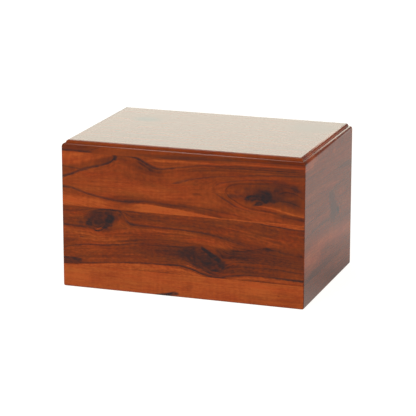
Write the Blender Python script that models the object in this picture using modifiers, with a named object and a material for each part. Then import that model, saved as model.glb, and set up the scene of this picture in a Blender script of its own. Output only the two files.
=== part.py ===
"""Wooden cremation urn box, closed and hollow.

Four mitred walls, each glued up edge to edge from three boards, carry one moulded top board.
A loose base panel lies in a rebate in the underside, held by four countersunk screws, and is
the way in. The box stands on the rim of its walls.

Metres, +Z up. The origin is at the middle of the underside, the long side runs along X and the
front faces -Y. Run with: blender --background --python part.py
"""

import math

import bmesh
import bpy

# Outside
WIDTH = 0.235
DEPTH = 0.1605

# Heights of the boards, from the underside up
BASE_STRIP_HEIGHT = 0.0222
LOWER_BOARD_HEIGHT = 0.0564
UPPER_BOARD_HEIGHT = 0.0516
TOP_BOARD_THICKNESS = 0.0103

# Walls
WALL_THICKNESS = 0.013
VERTICAL_EDGE_RADIUS = 0.0013
BOTTOM_EDGE_RADIUS = 0.0020

# Moulding round the top board, from the outside in
NOSE_RADIUS = 0.0030
LEDGE_WIDTH = 0.0003
OVOLO_RADIUS = 0.0027
MOULDING_DROP = 0.0028

# Base panel and the rebate that it lies in
RIM_THICKNESS = 0.0045
BASE_PANEL_THICKNESS = 0.008
BASE_PANEL_RECESS = 0.001
BASE_PANEL_PLAY = 0.0004
BASE_PANEL_CHAMFER = 0.0005

# Countersunk screws
SCREW_END_DISTANCE = 0.034
SCREW_FACE_DISTANCE = 0.0093
SCREW_LENGTH = 0.017
SCREW_SHANK_RADIUS = 0.0013
SCREW_HEAD_RADIUS = 0.0026
SCREW_TIP_RADIUS = 0.0004
SCREW_TIP_LENGTH = 0.0035
SCREW_SUNK = 0.0003
SCREW_SLOT_LENGTH = 0.0030
SCREW_SLOT_WIDTH = 0.0008
SCREW_SLOT_DEPTH = 0.0009

# Gap at every glued joint and round every screw
JOINT_GAP = 0.0003

# Roundness
EDGE_SEGMENTS = 4
MOULDING_SEGMENTS = 6
CHAMFER_SEGMENTS = 1
SCREW_SIDES = 20
SMOOTH_UP_TO = math.radians(28)

# How far a cutter runs past what it cuts
OVERRUN = 0.004

# Points nearer than this are one point
SAME_PLACE = 0.00001

# Worked out from the sizes above
WALLS_TOP = BASE_STRIP_HEIGHT + LOWER_BOARD_HEIGHT + UPPER_BOARD_HEIGHT
HEIGHT = WALLS_TOP + TOP_BOARD_THICKNESS
LEDGE_LEVEL = HEIGHT - MOULDING_DROP
FIELD_INSET = NOSE_RADIUS + LEDGE_WIDTH
SHOULDER_LEVEL = BASE_PANEL_RECESS + BASE_PANEL_THICKNESS + JOINT_GAP
SCREW_HEAD_LEVEL = BASE_PANEL_RECESS + SCREW_SUNK
COURSES = (
    ("base_strip", 0.0, BASE_STRIP_HEIGHT),
    ("lower_board", BASE_STRIP_HEIGHT, BASE_STRIP_HEIGHT + LOWER_BOARD_HEIGHT),
    ("upper_board", BASE_STRIP_HEIGHT + LOWER_BOARD_HEIGHT, WALLS_TOP),
)

# Each wall's name, its length and its distance from the middle, going round from the front
WALLS = (
    ("front", WIDTH, DEPTH / 2),
    ("right", DEPTH, WIDTH / 2),
    ("back", WIDTH, DEPTH / 2),
    ("left", DEPTH, WIDTH / 2),
)

# Colours, linear
LACQUERED_WOOD = (0.27, 0.065, 0.018, 1.0)
SCREW_BRASS = (0.62, 0.44, 0.19, 1.0)


def clear_scene():
    """Empties the scene, so that only the urn is in it."""
    for obj in list(bpy.data.objects):
        bpy.data.objects.remove(obj, do_unlink=True)


def new_collection(name):
    collection = bpy.data.collections.new(name)
    bpy.context.scene.collection.children.link(collection)
    return collection


def new_material(name, colour, roughness, metallic):
    material = bpy.data.materials.new(name)
    material.use_nodes = True
    shader = material.node_tree.nodes["Principled BSDF"]
    shader.inputs["Base Color"].default_value = colour
    shader.inputs["Roughness"].default_value = roughness
    shader.inputs["Metallic"].default_value = metallic
    material.diffuse_color = colour
    return material


def add_object(name, mesh, collection, material=None):
    obj = bpy.data.objects.new(name, mesh)
    collection.objects.link(obj)
    if material is not None and not mesh.materials:
        mesh.materials.append(material)
    return obj


def as_cutter(obj):
    obj.hide_render = True
    obj.display_type = "WIRE"
    return obj


def box_mesh(name, low, high, weight=None):
    """A box between two corners. weight gives each edge its share of the Bevel's width."""
    bm = bmesh.new()
    bmesh.ops.create_cube(bm, size=1.0)
    for vert in bm.verts:
        for axis in range(3):
            vert.co[axis] = low[axis] if vert.co[axis] < 0 else high[axis]
    if weight is not None:
        layer = bm.edges.layers.float.new("bevel_weight_edge")
        for edge in bm.edges:
            edge[layer] = weight(edge)
    mesh = bpy.data.meshes.new(name)
    bm.to_mesh(mesh)
    bm.free()
    return mesh


def is_vertical(edge):
    start, end = (vert.co for vert in edge.verts)
    return abs(start.z - end.z) > SAME_PLACE


def lies_at(edge, level):
    return all(abs(vert.co.z - level) < SAME_PLACE for vert in edge.verts)


def round_edges(obj, radius, segments=EDGE_SEGMENTS):
    """Rounds the weighted edges; a weight of 1 gives the whole radius."""
    bevel = obj.modifiers.new("rounding", "BEVEL")
    bevel.limit_method = "WEIGHT"
    bevel.width = radius
    bevel.segments = segments
    return bevel


def combine(obj, other, operation):
    boolean = obj.modifiers.new(operation.lower() + "_" + other.name, "BOOLEAN")
    boolean.operation = operation
    boolean.object = other
    boolean.solver = "EXACT"
    return boolean


def evaluated_mesh(obj, name):
    """The object's mesh with its modifiers applied."""
    graph = bpy.context.evaluated_depsgraph_get()
    mesh = bpy.data.meshes.new_from_object(obj.evaluated_get(graph))
    mesh.name = name
    return mesh


def shade_round_faces(mesh):
    mesh.shade_smooth()
    mesh.set_sharp_from_angle(angle=SMOOTH_UP_TO)


def screw_profile(grow=0.0, head_run=0.0):
    """Radius and height down a screw's outer side, from its tip to its head's face.

    grow makes it that much larger all round, and head_run carries it on below its head, which
    together make the hole that it sits in.
    """
    tip = SCREW_LENGTH + grow
    head_height = SCREW_HEAD_RADIUS - SCREW_SHANK_RADIUS
    points = [
        (0.0, tip),
        (SCREW_TIP_RADIUS + grow, tip),
        (SCREW_SHANK_RADIUS + grow, tip - SCREW_TIP_LENGTH),
        (SCREW_SHANK_RADIUS + grow, head_height),
        (SCREW_HEAD_RADIUS + grow, 0.0),
    ]
    if head_run > 0:
        points.append((SCREW_HEAD_RADIUS + grow, -head_run))
    points.append((0.0, -head_run))
    return points


def turned_mesh(name, profile, collection):
    """A solid turned about Z from a profile of radius and height."""
    mesh = bpy.data.meshes.new(name + "_profile")
    points = [(radius, 0.0, height) for radius, height in profile]
    mesh.from_pydata(points, [(i, i + 1) for i in range(len(points) - 1)], [])
    obj = add_object(name + "_profile", mesh, collection)
    screw = obj.modifiers.new("turn", "SCREW")
    screw.steps = SCREW_SIDES
    screw.render_steps = SCREW_SIDES
    screw.use_merge_vertices = True
    screw.merge_threshold = SAME_PLACE
    solid = evaluated_mesh(obj, name)
    bpy.data.objects.remove(obj, do_unlink=True)
    return solid


def screw_places():
    """Where the four screws stand, in plan: under the front and back walls, near their ends."""
    x = WIDTH / 2 - SCREW_END_DISTANCE
    y = DEPTH / 2 - SCREW_FACE_DISTANCE
    return [(-x, -y), (x, -y), (x, y), (-x, y)]


def make_screw_mesh(cutters):
    """One screw, head down at the origin, with a cross slot in its head."""
    turned = add_object("screw_blank", turned_mesh("screw_turned", screw_profile(), cutters), cutters)
    half_length = SCREW_SLOT_LENGTH / 2
    half_width = SCREW_SLOT_WIDTH / 2
    slots = []
    for name, x, y in (("slot_x", half_length, half_width), ("slot_y", half_width, half_length)):
        mesh = box_mesh(name, (-x, -y, -OVERRUN), (x, y, SCREW_SLOT_DEPTH))
        slots.append(as_cutter(add_object(name, mesh, cutters)))
        combine(turned, slots[-1], "DIFFERENCE")
    mesh = evaluated_mesh(turned, "base_screw")
    for helper in [turned] + slots:
        bpy.data.objects.remove(helper, do_unlink=True)
    shade_round_faces(mesh)
    return mesh


def make_screw_holes(cutters):
    """The clearance holes and countersinks, one for each screw, as cutters."""
    mesh = turned_mesh("screw_hole", screw_profile(JOINT_GAP, OVERRUN), cutters)
    holes = []
    for number, (x, y) in enumerate(screw_places(), start=1):
        hole = as_cutter(add_object(f"screw_hole_{number}", mesh, cutters))
        hole.location = (x, y, SCREW_HEAD_LEVEL)
        holes.append(hole)
    return holes


def make_wall_ring(cutters, holes):
    """All four walls in one, hollow, rounded outside, rebated and drilled, to be cut into boards."""
    def weight(edge):
        if is_vertical(edge):
            return VERTICAL_EDGE_RADIUS / BOTTOM_EDGE_RADIUS
        return 1.0 if lies_at(edge, 0.0) else 0.0

    low = (-WIDTH / 2, -DEPTH / 2, 0.0)
    high = (WIDTH / 2, DEPTH / 2, WALLS_TOP)
    ring = add_object("wall_ring", box_mesh("wall_block", low, high, weight), cutters)
    round_edges(ring, BOTTOM_EDGE_RADIUS)

    inner_x = WIDTH / 2 - WALL_THICKNESS
    inner_y = DEPTH / 2 - WALL_THICKNESS
    cavity = box_mesh("cavity", (-inner_x, -inner_y, -OVERRUN), (inner_x, inner_y, WALLS_TOP + OVERRUN))
    rim_x = WIDTH / 2 - RIM_THICKNESS
    rim_y = DEPTH / 2 - RIM_THICKNESS
    rebate = box_mesh("rebate", (-rim_x, -rim_y, -OVERRUN), (rim_x, rim_y, SHOULDER_LEVEL))
    hollows = [as_cutter(add_object(mesh.name, mesh, cutters)) for mesh in (cavity, rebate)]
    for cutter in hollows + holes:
        combine(ring, cutter, "DIFFERENCE")
    mesh = evaluated_mesh(ring, "wall_ring")
    for helper in [ring] + hollows:
        bpy.data.objects.remove(helper, do_unlink=True)
    return mesh


def mitred_cutter(name, length, distance, turn, bottom, top, cutters):
    """The space of one board: a slab with both ends cut at 45 degrees through the corners.

    It is made for the front, facing -Y, and turned about Z to its own side.
    """
    outer = distance + OVERRUN
    inner = distance - WALL_THICKNESS - OVERRUN
    mesh = box_mesh(name, (-1.0, -outer, bottom), (1.0, -inner, top))
    half_joint = JOINT_GAP / 2 * math.sqrt(2)
    for vert in mesh.vertices:
        reach = length / 2 - (distance + vert.co.y) - half_joint
        vert.co.x = math.copysign(reach, vert.co.x)
    cutter = as_cutter(add_object(name, mesh, cutters))
    cutter.rotation_euler.z = turn
    return cutter


def make_walls(ring_mesh, urn, cutters, wood):
    """Cuts the ring of walls into its boards, each its own piece."""
    for side, (wall, length, distance) in enumerate(WALLS):
        for course, bottom, top in COURSES:
            name = f"{wall}_{course}"
            bottom_cut = bottom + JOINT_GAP / 2 if bottom > 0 else -OVERRUN
            top_cut = top - JOINT_GAP / 2
            cutter = mitred_cutter(
                name + "_space", length, distance, side * math.pi / 2, bottom_cut, top_cut, cutters
            )
            board = add_object(name, ring_mesh.copy(), urn, wood)
            combine(board, cutter, "INTERSECT")


def make_top_board(urn, cutters, wood):
    """The top board: a slab with a rounded nose, and a raised field with a rounded edge."""
    def slab_weight(edge):
        if is_vertical(edge):
            return VERTICAL_EDGE_RADIUS / NOSE_RADIUS
        return 1.0 if lies_at(edge, LEDGE_LEVEL) else 0.0

    def field_weight(edge):
        return 1.0 if lies_at(edge, HEIGHT) else 0.0

    underside = WALLS_TOP + JOINT_GAP / 2
    slab = box_mesh(
        "top_board",
        (-WIDTH / 2, -DEPTH / 2, underside),
        (WIDTH / 2, DEPTH / 2, LEDGE_LEVEL),
        slab_weight,
    )
    board = add_object("top_board", slab, urn, wood)
    round_edges(board, NOSE_RADIUS, MOULDING_SEGMENTS)

    field_x = WIDTH / 2 - FIELD_INSET
    field_y = DEPTH / 2 - FIELD_INSET
    inside_slab = (underside + LEDGE_LEVEL) / 2
    field_mesh = box_mesh(
        "raised_field", (-field_x, -field_y, inside_slab), (field_x, field_y, HEIGHT), field_weight
    )
    field = as_cutter(add_object("raised_field", field_mesh, cutters))
    round_edges(field, OVOLO_RADIUS, MOULDING_SEGMENTS)
    combine(board, field, "UNION")


def make_base_panel(urn, holes, wood):
    """The loose panel in the underside, drilled and countersunk for its screws."""
    underside = BASE_PANEL_RECESS

    def weight(edge):
        return 1.0 if lies_at(edge, underside) else 0.0

    x = WIDTH / 2 - RIM_THICKNESS - BASE_PANEL_PLAY
    y = DEPTH / 2 - RIM_THICKNESS - BASE_PANEL_PLAY
    mesh = box_mesh(
        "base_panel", (-x, -y, underside), (x, y, underside + BASE_PANEL_THICKNESS), weight
    )
    panel = add_object("base_panel", mesh, urn, wood)
    round_edges(panel, BASE_PANEL_CHAMFER, CHAMFER_SEGMENTS)
    for hole in holes:
        combine(panel, hole, "DIFFERENCE")


def make_screws(urn, cutters, brass):
    mesh = make_screw_mesh(cutters)
    for number, (x, y) in enumerate(screw_places(), start=1):
        screw = add_object(f"base_screw_{number}", mesh, urn, brass)
        screw.location = (x, y, SCREW_HEAD_LEVEL)


def main():
    clear_scene()
    urn = new_collection("cremation_urn_box")
    cutters = new_collection("urn_cutters")
    wood = new_material("lacquered_wood", LACQUERED_WOOD, roughness=0.3, metallic=0.0)
    brass = new_material("screw_brass", SCREW_BRASS, roughness=0.35, metallic=1.0)

    holes = make_screw_holes(cutters)
    ring_mesh = make_wall_ring(cutters, holes)
    make_walls(ring_mesh, urn, cutters, wood)
    make_top_board(urn, cutters, wood)
    make_base_panel(urn, holes, wood)
    make_screws(urn, cutters, brass)


main()
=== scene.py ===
"""Looks of a wooden cremation urn box: figured, lacquered hardwood under plain studio light.

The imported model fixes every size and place. Here the walls and the top board get closed glue
joints, finer roundings and their wood, each board with a figure of its own. The base panel keeps
its shape and gets a wood finish, and its screws get their threads and cross slots.
"""

from __future__ import annotations

import logging
import math
from collections.abc import Callable
from dataclasses import dataclass
from enum import Enum

import bmesh
import bpy
from mathutils import Matrix, Vector


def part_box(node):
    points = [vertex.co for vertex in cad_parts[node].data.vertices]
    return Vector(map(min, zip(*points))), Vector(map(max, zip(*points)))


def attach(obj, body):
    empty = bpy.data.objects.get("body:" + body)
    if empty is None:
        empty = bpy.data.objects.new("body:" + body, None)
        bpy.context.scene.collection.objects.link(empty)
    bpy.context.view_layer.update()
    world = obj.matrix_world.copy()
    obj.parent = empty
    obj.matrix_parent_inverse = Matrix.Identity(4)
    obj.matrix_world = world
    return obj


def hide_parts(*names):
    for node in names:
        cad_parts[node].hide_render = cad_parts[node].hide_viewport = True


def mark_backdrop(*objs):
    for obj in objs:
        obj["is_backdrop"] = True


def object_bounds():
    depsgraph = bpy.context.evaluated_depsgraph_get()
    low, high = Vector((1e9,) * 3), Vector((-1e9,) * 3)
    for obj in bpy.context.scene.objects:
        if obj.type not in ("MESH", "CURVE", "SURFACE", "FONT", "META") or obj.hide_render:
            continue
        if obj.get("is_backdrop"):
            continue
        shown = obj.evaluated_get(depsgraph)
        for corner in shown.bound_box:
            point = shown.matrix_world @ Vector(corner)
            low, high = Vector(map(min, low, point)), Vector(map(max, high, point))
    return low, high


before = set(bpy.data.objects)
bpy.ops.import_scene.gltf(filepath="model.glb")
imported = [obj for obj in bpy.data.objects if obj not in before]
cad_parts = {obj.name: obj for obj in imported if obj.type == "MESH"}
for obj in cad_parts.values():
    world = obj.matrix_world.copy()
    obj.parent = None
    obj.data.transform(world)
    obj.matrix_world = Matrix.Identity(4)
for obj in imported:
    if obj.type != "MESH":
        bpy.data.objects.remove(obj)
CAD_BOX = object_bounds()

LOG = logging.getLogger("urn")
MM = 0.001
BODY = "root"

NOISE_GAIN = 4.0
SEED_STEPS = (3.7, 1.9, 5.3)
SAME_HEIGHT = 1e-6
SMALLEST_EDGE = 1e-7
FLAT = 0.99999
SHARPEST = math.radians(32)

Place = tuple[float, float, float]
Colour = tuple[float, float, float]


class Wire:
    """One output of a node, which plain sums can be written with."""

    def __init__(self, sheet: Sheet, socket: bpy.types.NodeSocket) -> None:
        """Keeps the output and the sheet that it is on."""
        self.sheet = sheet
        self.socket = socket

    def __add__(self, other: Wire | float) -> Wire:
        """The sum of the two."""
        return self.sheet.math("ADD", self, other)

    def __sub__(self, other: Wire | float) -> Wire:
        """The first less the second."""
        return self.sheet.math("SUBTRACT", self, other)

    def __rsub__(self, other: float) -> Wire:
        """The second less the first."""
        return self.sheet.math("SUBTRACT", other, self)

    def __mul__(self, other: Wire | float) -> Wire:
        """The product of the two."""
        return self.sheet.math("MULTIPLY", self, other)

    def __rmul__(self, other: float) -> Wire:
        """The product of the two."""
        return self.sheet.math("MULTIPLY", other, self)

    def __truediv__(self, other: Wire | float) -> Wire:
        """The first over the second."""
        return self.sheet.math("DIVIDE", self, other)


class Sheet:
    """A node tree being drawn up: it adds nodes, joins them and does sums with their outputs."""

    def __init__(self, tree: bpy.types.NodeTree) -> None:
        """Starts on a shader or geometry node tree."""
        self.tree = tree

    def node(self, kind: str, inputs: dict | None = None, **settings: object) -> bpy.types.Node:
        """Adds a node.

        Args:
            kind: Blender's name for the node's type.
            inputs: Input name or number to a value, an output socket or a Wire.
            **settings: The node's own properties.

        Returns:
            The new node.
        """
        made = self.tree.nodes.new(kind)
        for name, value in settings.items():
            setattr(made, name, value)
        for key, value in (inputs or {}).items():
            self.feed(value, made.inputs[key])
        return made

    def first(self, kind: str, inputs: dict | None = None, **settings: object) -> Wire:
        """Adds a node and gives its first output."""
        return Wire(self, self.node(kind, inputs, **settings).outputs[0])

    def feed(self, value: object, socket: bpy.types.NodeSocket) -> None:
        """Sets an input, or joins it to an output.

        Args:
            value: A plain value, an output socket or a Wire.
            socket: The input.
        """
        if isinstance(value, Wire):
            value = value.socket
        if isinstance(value, bpy.types.NodeSocket):
            self.tree.links.new(value, socket)
        else:
            socket.default_value = value

    def math(self, operation: str, *values: Wire | float, clamped: bool = False) -> Wire:
        """Adds one sum.

        Args:
            operation: Blender's name for the sum.
            *values: Its one to three operands.
            clamped: Whether the result is kept between 0 and 1.

        Returns:
            The result.
        """
        inputs = dict(enumerate(values))
        return self.first("ShaderNodeMath", inputs, operation=operation, use_clamp=clamped)

    def scaled(self, vector: object, factor: Place, offset: Place = (0, 0, 0)) -> Wire:
        """Multiplies a vector by a factor for each axis, and moves it."""
        inputs = {0: vector, 1: factor, 2: offset}
        return self.first("ShaderNodeVectorMath", inputs, operation="MULTIPLY_ADD")

    def joined(self, x: Wire | float, y: Wire | float, z: Wire | float) -> Wire:
        """One vector from three numbers."""
        return self.first("ShaderNodeCombineXYZ", {0: x, 1: y, 2: z})

    def split(self, vector: object) -> tuple[Wire, Wire, Wire]:
        """The three numbers of a vector."""
        outputs = self.node("ShaderNodeSeparateXYZ", {0: vector}).outputs
        return Wire(self, outputs[0]), Wire(self, outputs[1]), Wire(self, outputs[2])

    def step(self, value: Wire, zero_at: float, one_at: float) -> Wire:
        """A smooth step from 0 at one value to 1 at another, above or below it."""
        inputs = {0: value, 1: zero_at, 2: one_at, 3: 0.0, 4: 1.0}
        return self.first("ShaderNodeMapRange", inputs, interpolation_type="SMOOTHSTEP")

    def oval(self, vector: object, centre: Place, radii: Place, tilt: float = 0.0) -> Wire:
        """How far a place is from the middle of an oval.

        Args:
            vector: The place.
            centre: The oval's middle.
            radii: Half its size on each axis.
            tilt: Its turn about Z, in radians.

        Returns:
            0 in the middle and 1 on the oval.
        """
        inputs = {"Vector": vector, "Location": centre, "Rotation": (0.0, 0.0, tilt), "Scale": radii}
        spread = self.first("ShaderNodeMapping", inputs, vector_type="TEXTURE")
        length = self.node("ShaderNodeVectorMath", {0: spread}, operation="LENGTH")
        return Wire(self, length.outputs["Value"])

    def mixed(self, share: Wire, start: object, end: object) -> Wire:
        """Goes from one colour to another.

        Args:
            share: From 0, the first, to 1, the second.
            start: The first colour.
            end: The second colour.

        Returns:
            The colour.
        """
        mix = self.node("ShaderNodeMix", data_type="RGBA")
        for number, value in ((0, share), (6, start), (7, end)):
            self.feed(value, mix.inputs[number])
        return Wire(self, mix.outputs[2])

    def noise(self, vector: object, grain: Grain, seed: float = 0.0) -> Wire:
        """A layer of noise, as a number from about -1 to 1.

        Args:
            vector: Where, in millimetres.
            grain: The layer.
            seed: The board's seed.

        Returns:
            The noise.
        """
        factor = tuple(1.0 / length for length in grain.size)
        offset = tuple((seed + grain.shift) * step for step in SEED_STEPS)
        where = self.scaled(vector, factor, offset)
        inputs = {"Vector": where, "Scale": 1.0, "Detail": grain.detail}
        return self.first("ShaderNodeTexNoise", inputs) * NOISE_GAIN - NOISE_GAIN / 2


def new_material(
    name: str, constants: dict[str, object]
) -> tuple[bpy.types.Material, Sheet, bpy.types.NodeInputs]:
    """Makes a material of one shader.

    Args:
        name: Its name.
        constants: Values for the shader's own sockets.

    Returns:
        The material, its sheet and the shader's sockets.
    """
    material = bpy.data.materials.new(name)
    material.use_nodes = True
    sockets = material.node_tree.nodes["Principled BSDF"].inputs
    for socket, value in constants.items():
        sockets[socket].default_value = value
    return material, Sheet(material.node_tree), sockets


@dataclass(frozen=True)
class Grain:
    """One layer of noise in a material.

    Attributes:
        size: Length of its grains along, into and down the face, in millimetres.
        shift: Added to the board's seed.
        detail: Octaves of finer noise.
        weight: How much it changes the tone or the colour, where it does.
    """

    size: Place
    shift: float
    detail: float = 2.0
    weight: float = 0.0


SLOW = Grain((95.0, 30.0, 26.0), 0.0)
QUICK = Grain((17.0, 6.0, 4.0), 1.0)
ROUGH = Grain((4.2, 2.6, 1.9), 1.5)
BROAD = Grain((260.0, 40.0, 9.0), 2.0, weight=0.10)
LINES = Grain((100.0, 25.0, 2.0), 3.0, weight=0.10)
FIBRES = Grain((36.0, 8.0, 0.9), 4.0, weight=0.10)
PORES = Grain((7.0, 1.5, 0.3), 5.0, 1.0, weight=0.07)
SPECKS = Grain((3.4, 1.8, 1.2), 5.5, 1.0)
MOTTLE = Grain((16.0, 7.0, 4.5), 6.0, weight=0.06)
RIPPLE = Grain((2.8, 10.0, 26.0), 7.0, 1.0, weight=0.036)
WARMTH = Grain((34.0, 12.0, 7.0), 8.0, weight=0.16)
OPEN_PORES = Grain((6.0, 0.8, 0.35), 9.0, 1.0)
TARNISH = Grain((1.6, 1.6, 1.6), 4.0)


class Ink(Enum):
    """What a mark in the wood does to its colour."""

    GLOW = "lighter and more orange"
    SHADE = "a darker red brown"
    SCORCH = "almost black"


@dataclass(frozen=True)
class Streak:
    """A line or a band of grain on a board's face.

    Attributes:
        ink: What it does to the colour.
        width: Half its width, in millimetres.
        strength: From 0 to 1.
        path: Points from left to right: place along and down the face, in millimetres, and,
            where they aren't 1, factors on the width and on the strength.
        above: How many times wider than that its upper flank is.
        below: How many times wider its lower flank is.
        core: Share of its width that has its full strength.
    """

    ink: Ink
    width: float
    strength: float
    path: tuple[tuple[float, ...], ...]
    above: float = 1.3
    below: float = 1.0
    core: float = 0.15


@dataclass(frozen=True)
class Blotch:
    """An oval patch on a board's face.

    Attributes:
        ink: What it does to the colour.
        centre: Its place along and down the face, in millimetres.
        radii: Half its length and half its height, in millimetres.
        tilt: Degrees that its right end is turned down by.
        strength: From 0 to 1.
        core: Share of its radius that has its full strength.
    """

    ink: Ink
    centre: tuple[float, float]
    radii: tuple[float, float]
    tilt: float = 0.0
    strength: float = 1.0
    core: float = 0.2


@dataclass(frozen=True)
class Knot:
    """Where a branch comes through: the grain parts round it and rings show in it.

    Attributes:
        centre: Its place along and down the face, in millimetres.
        radii: Half its length and half its height, in millimetres.
        push: Reach over which the grain parts, in millimetres.
        rings: Rings from its middle to its edge.
        strength: Strength of the rings, from 0 to 1.
    """

    centre: tuple[float, float]
    radii: tuple[float, float]
    push: float = 8.0
    rings: float = 4.0
    strength: float = 0.5


@dataclass(frozen=True)
class Figure:
    """The figure of one board's wood.

    Attributes:
        seed: Makes the board's noise its own.
        tone: From 0, the darkest wood, to 1, the lightest.
        contrast: How strongly its grain bands differ.
        drift: How far its grain lines wander, in millimetres.
        fall: How far its grain lines drop for each millimetre along the board.
        open_pores: How strongly its pores show in the lacquer, from 0 to 1.
        specks: How strongly its finest grain shows.
        guides: Lines that the grain follows, from the top down: the grain level of each, then
            its points as places along and down the face, in millimetres.
        knots: Its knots.
        streaks: Its lines and bands.
        blotches: Its patches.
        edge_streaks: Lines and bands on a top board's front edge, placed along it and down from
            the board's upper face.
    """

    seed: float
    tone: float
    contrast: float = 1.0
    drift: float = 2.5
    fall: float = 0.0
    open_pores: float = 0.35
    specks: float = 0.1
    guides: tuple[tuple[float, tuple[tuple[float, float], ...]], ...] = ()
    knots: tuple[Knot, ...] = ()
    streaks: tuple[Streak, ...] = ()
    blotches: tuple[Blotch, ...] = ()
    edge_streaks: tuple[Streak, ...] = ()


@dataclass(frozen=True)
class Face:
    """Where a board's figure is laid out: along its grain, into its depth and down its face.

    Attributes:
        turn: Turn that brings the face to the layout, in radians about X, Y and Z.
        factor: Factor on each axis before the turn, which also makes metres millimetres.
        start: Place of the object's origin in the layout, in millimetres.
    """

    turn: Place
    factor: Place
    start: Place

    @classmethod
    def of_wall(cls, side: int, length: float, distance: float, level: float) -> Face:
        """The layout of a wall, from its left end and down from just below the moulding's ledge.

        Args:
            side: Quarter turns from the front wall.
            length: The wall's length, in metres.
            distance: From the middle of the box to the wall's face, in metres.
            level: Height that the layout starts from, in metres.

        Returns:
            The layout.
        """
        start = (length / 2 / MM, distance / MM, level / MM)
        return cls((0.0, 0.0, -side * math.pi / 2), (1 / MM, 1 / MM, -1 / MM), start)

    @classmethod
    def of_board(cls, width: float, depth: float, level: float, upwards: bool) -> Face:
        """The layout of a level board, from its left and front edges.

        Args:
            width: The board's width, in metres.
            depth: The board's depth, in metres.
            level: Height of its outer face, in metres.
            upwards: Whether that face looks up.

        Returns:
            The layout.
        """
        into = 1 if upwards else -1
        start = (width / 2 / MM, into * level / MM, depth / 2 / MM)
        return cls((into * math.pi / 2, 0.0, 0.0), (1 / MM, into / MM, 1 / MM), start)

    def lay_out(self, sheet: Sheet) -> Wire:
        """Adds the nodes that give a point's place in the layout.

        Args:
            sheet: The shader tree.

        Returns:
            The place: along, into the depth and down the face.
        """
        here = sheet.node("ShaderNodeTexCoord").outputs["Object"]
        inputs = {"Vector": here, "Location": self.start, "Rotation": self.turn, "Scale": self.factor}
        return sheet.first("ShaderNodeMapping", inputs)


@dataclass(frozen=True)
class LacqueredWood:
    """Reddish brown, strongly figured hardwood under a clear satin lacquer.

    Attributes:
        palette: Colours from the darkest wood to the lightest, linear.
        stops: The tone of each colour.
        scorched: Colour of knots and of the darkest lines, linear.
        roughness: Roughness under the lacquer.
        lacquer: Weight of the lacquer.
        lacquer_roughness: Roughness of the lacquer's own surface.
        lacquer_ior: Refractive index of the lacquer.
        pore_depth: Height of the pores' bump, in metres.
        glow: How much lighter a full mark of that ink makes the wood.
        shade: How much darker one of the other makes it.
        scorch_cover: How far full scorch covers the wood, and how unevenly.
        late_wood: Noise of the growth lines from which late wood starts, and at which it is full.
        late_shade: How much darker late wood is.
        pore_start: Noise of the pores from which a pore starts, and at which it is full.
        base_tone: Added to every board's tone.
    """

    palette: tuple[Colour, ...] = (
        (0.016, 0.007, 0.007),
        (0.060, 0.014, 0.008),
        (0.125, 0.023, 0.006),
        (0.185, 0.031, 0.005),
        (0.270, 0.045, 0.007),
        (0.405, 0.077, 0.013),
    )
    stops: tuple[float, ...] = (0.0, 0.22, 0.42, 0.60, 0.78, 1.0)
    scorched: Colour = (0.020, 0.011, 0.012)
    roughness: float = 0.5
    lacquer: float = 1.0
    lacquer_roughness: float = 0.22
    lacquer_ior: float = 1.22
    pore_depth: float = 0.00004
    glow: float = 0.3
    shade: float = 0.32
    scorch_cover: tuple[float, float] = (0.92, 0.3)
    late_wood: tuple[float, float] = (0.1, 0.9)
    late_shade: float = 0.10
    pore_start: tuple[float, float] = (0.5, 1.3)
    base_tone: float = 0.02

    def material(self, name: str, figure: Figure, face: Face) -> bpy.types.Material:
        """Makes the material of one board.

        Args:
            name: The material's name.
            figure: The board's figure.
            face: The layout of the figure.

        Returns:
            The material.
        """
        constants = {
            "Roughness": self.roughness,
            "Specular IOR Level": 0.0,
            "Coat Weight": self.lacquer,
            "Coat Roughness": self.lacquer_roughness,
            "Coat IOR": self.lacquer_ior,
        }
        material, sheet, sockets = new_material(name, constants)
        drawing = Drawing(self, figure, sheet, face.lay_out(sheet))
        sheet.feed(drawing.colour(), sockets["Base Color"])
        pores = drawing.noise(OPEN_PORES)
        bump = {"Strength": figure.open_pores, "Distance": self.pore_depth, "Height": pores}
        sheet.feed(sheet.first("ShaderNodeBump", bump), sockets["Normal"])
        return material


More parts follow.
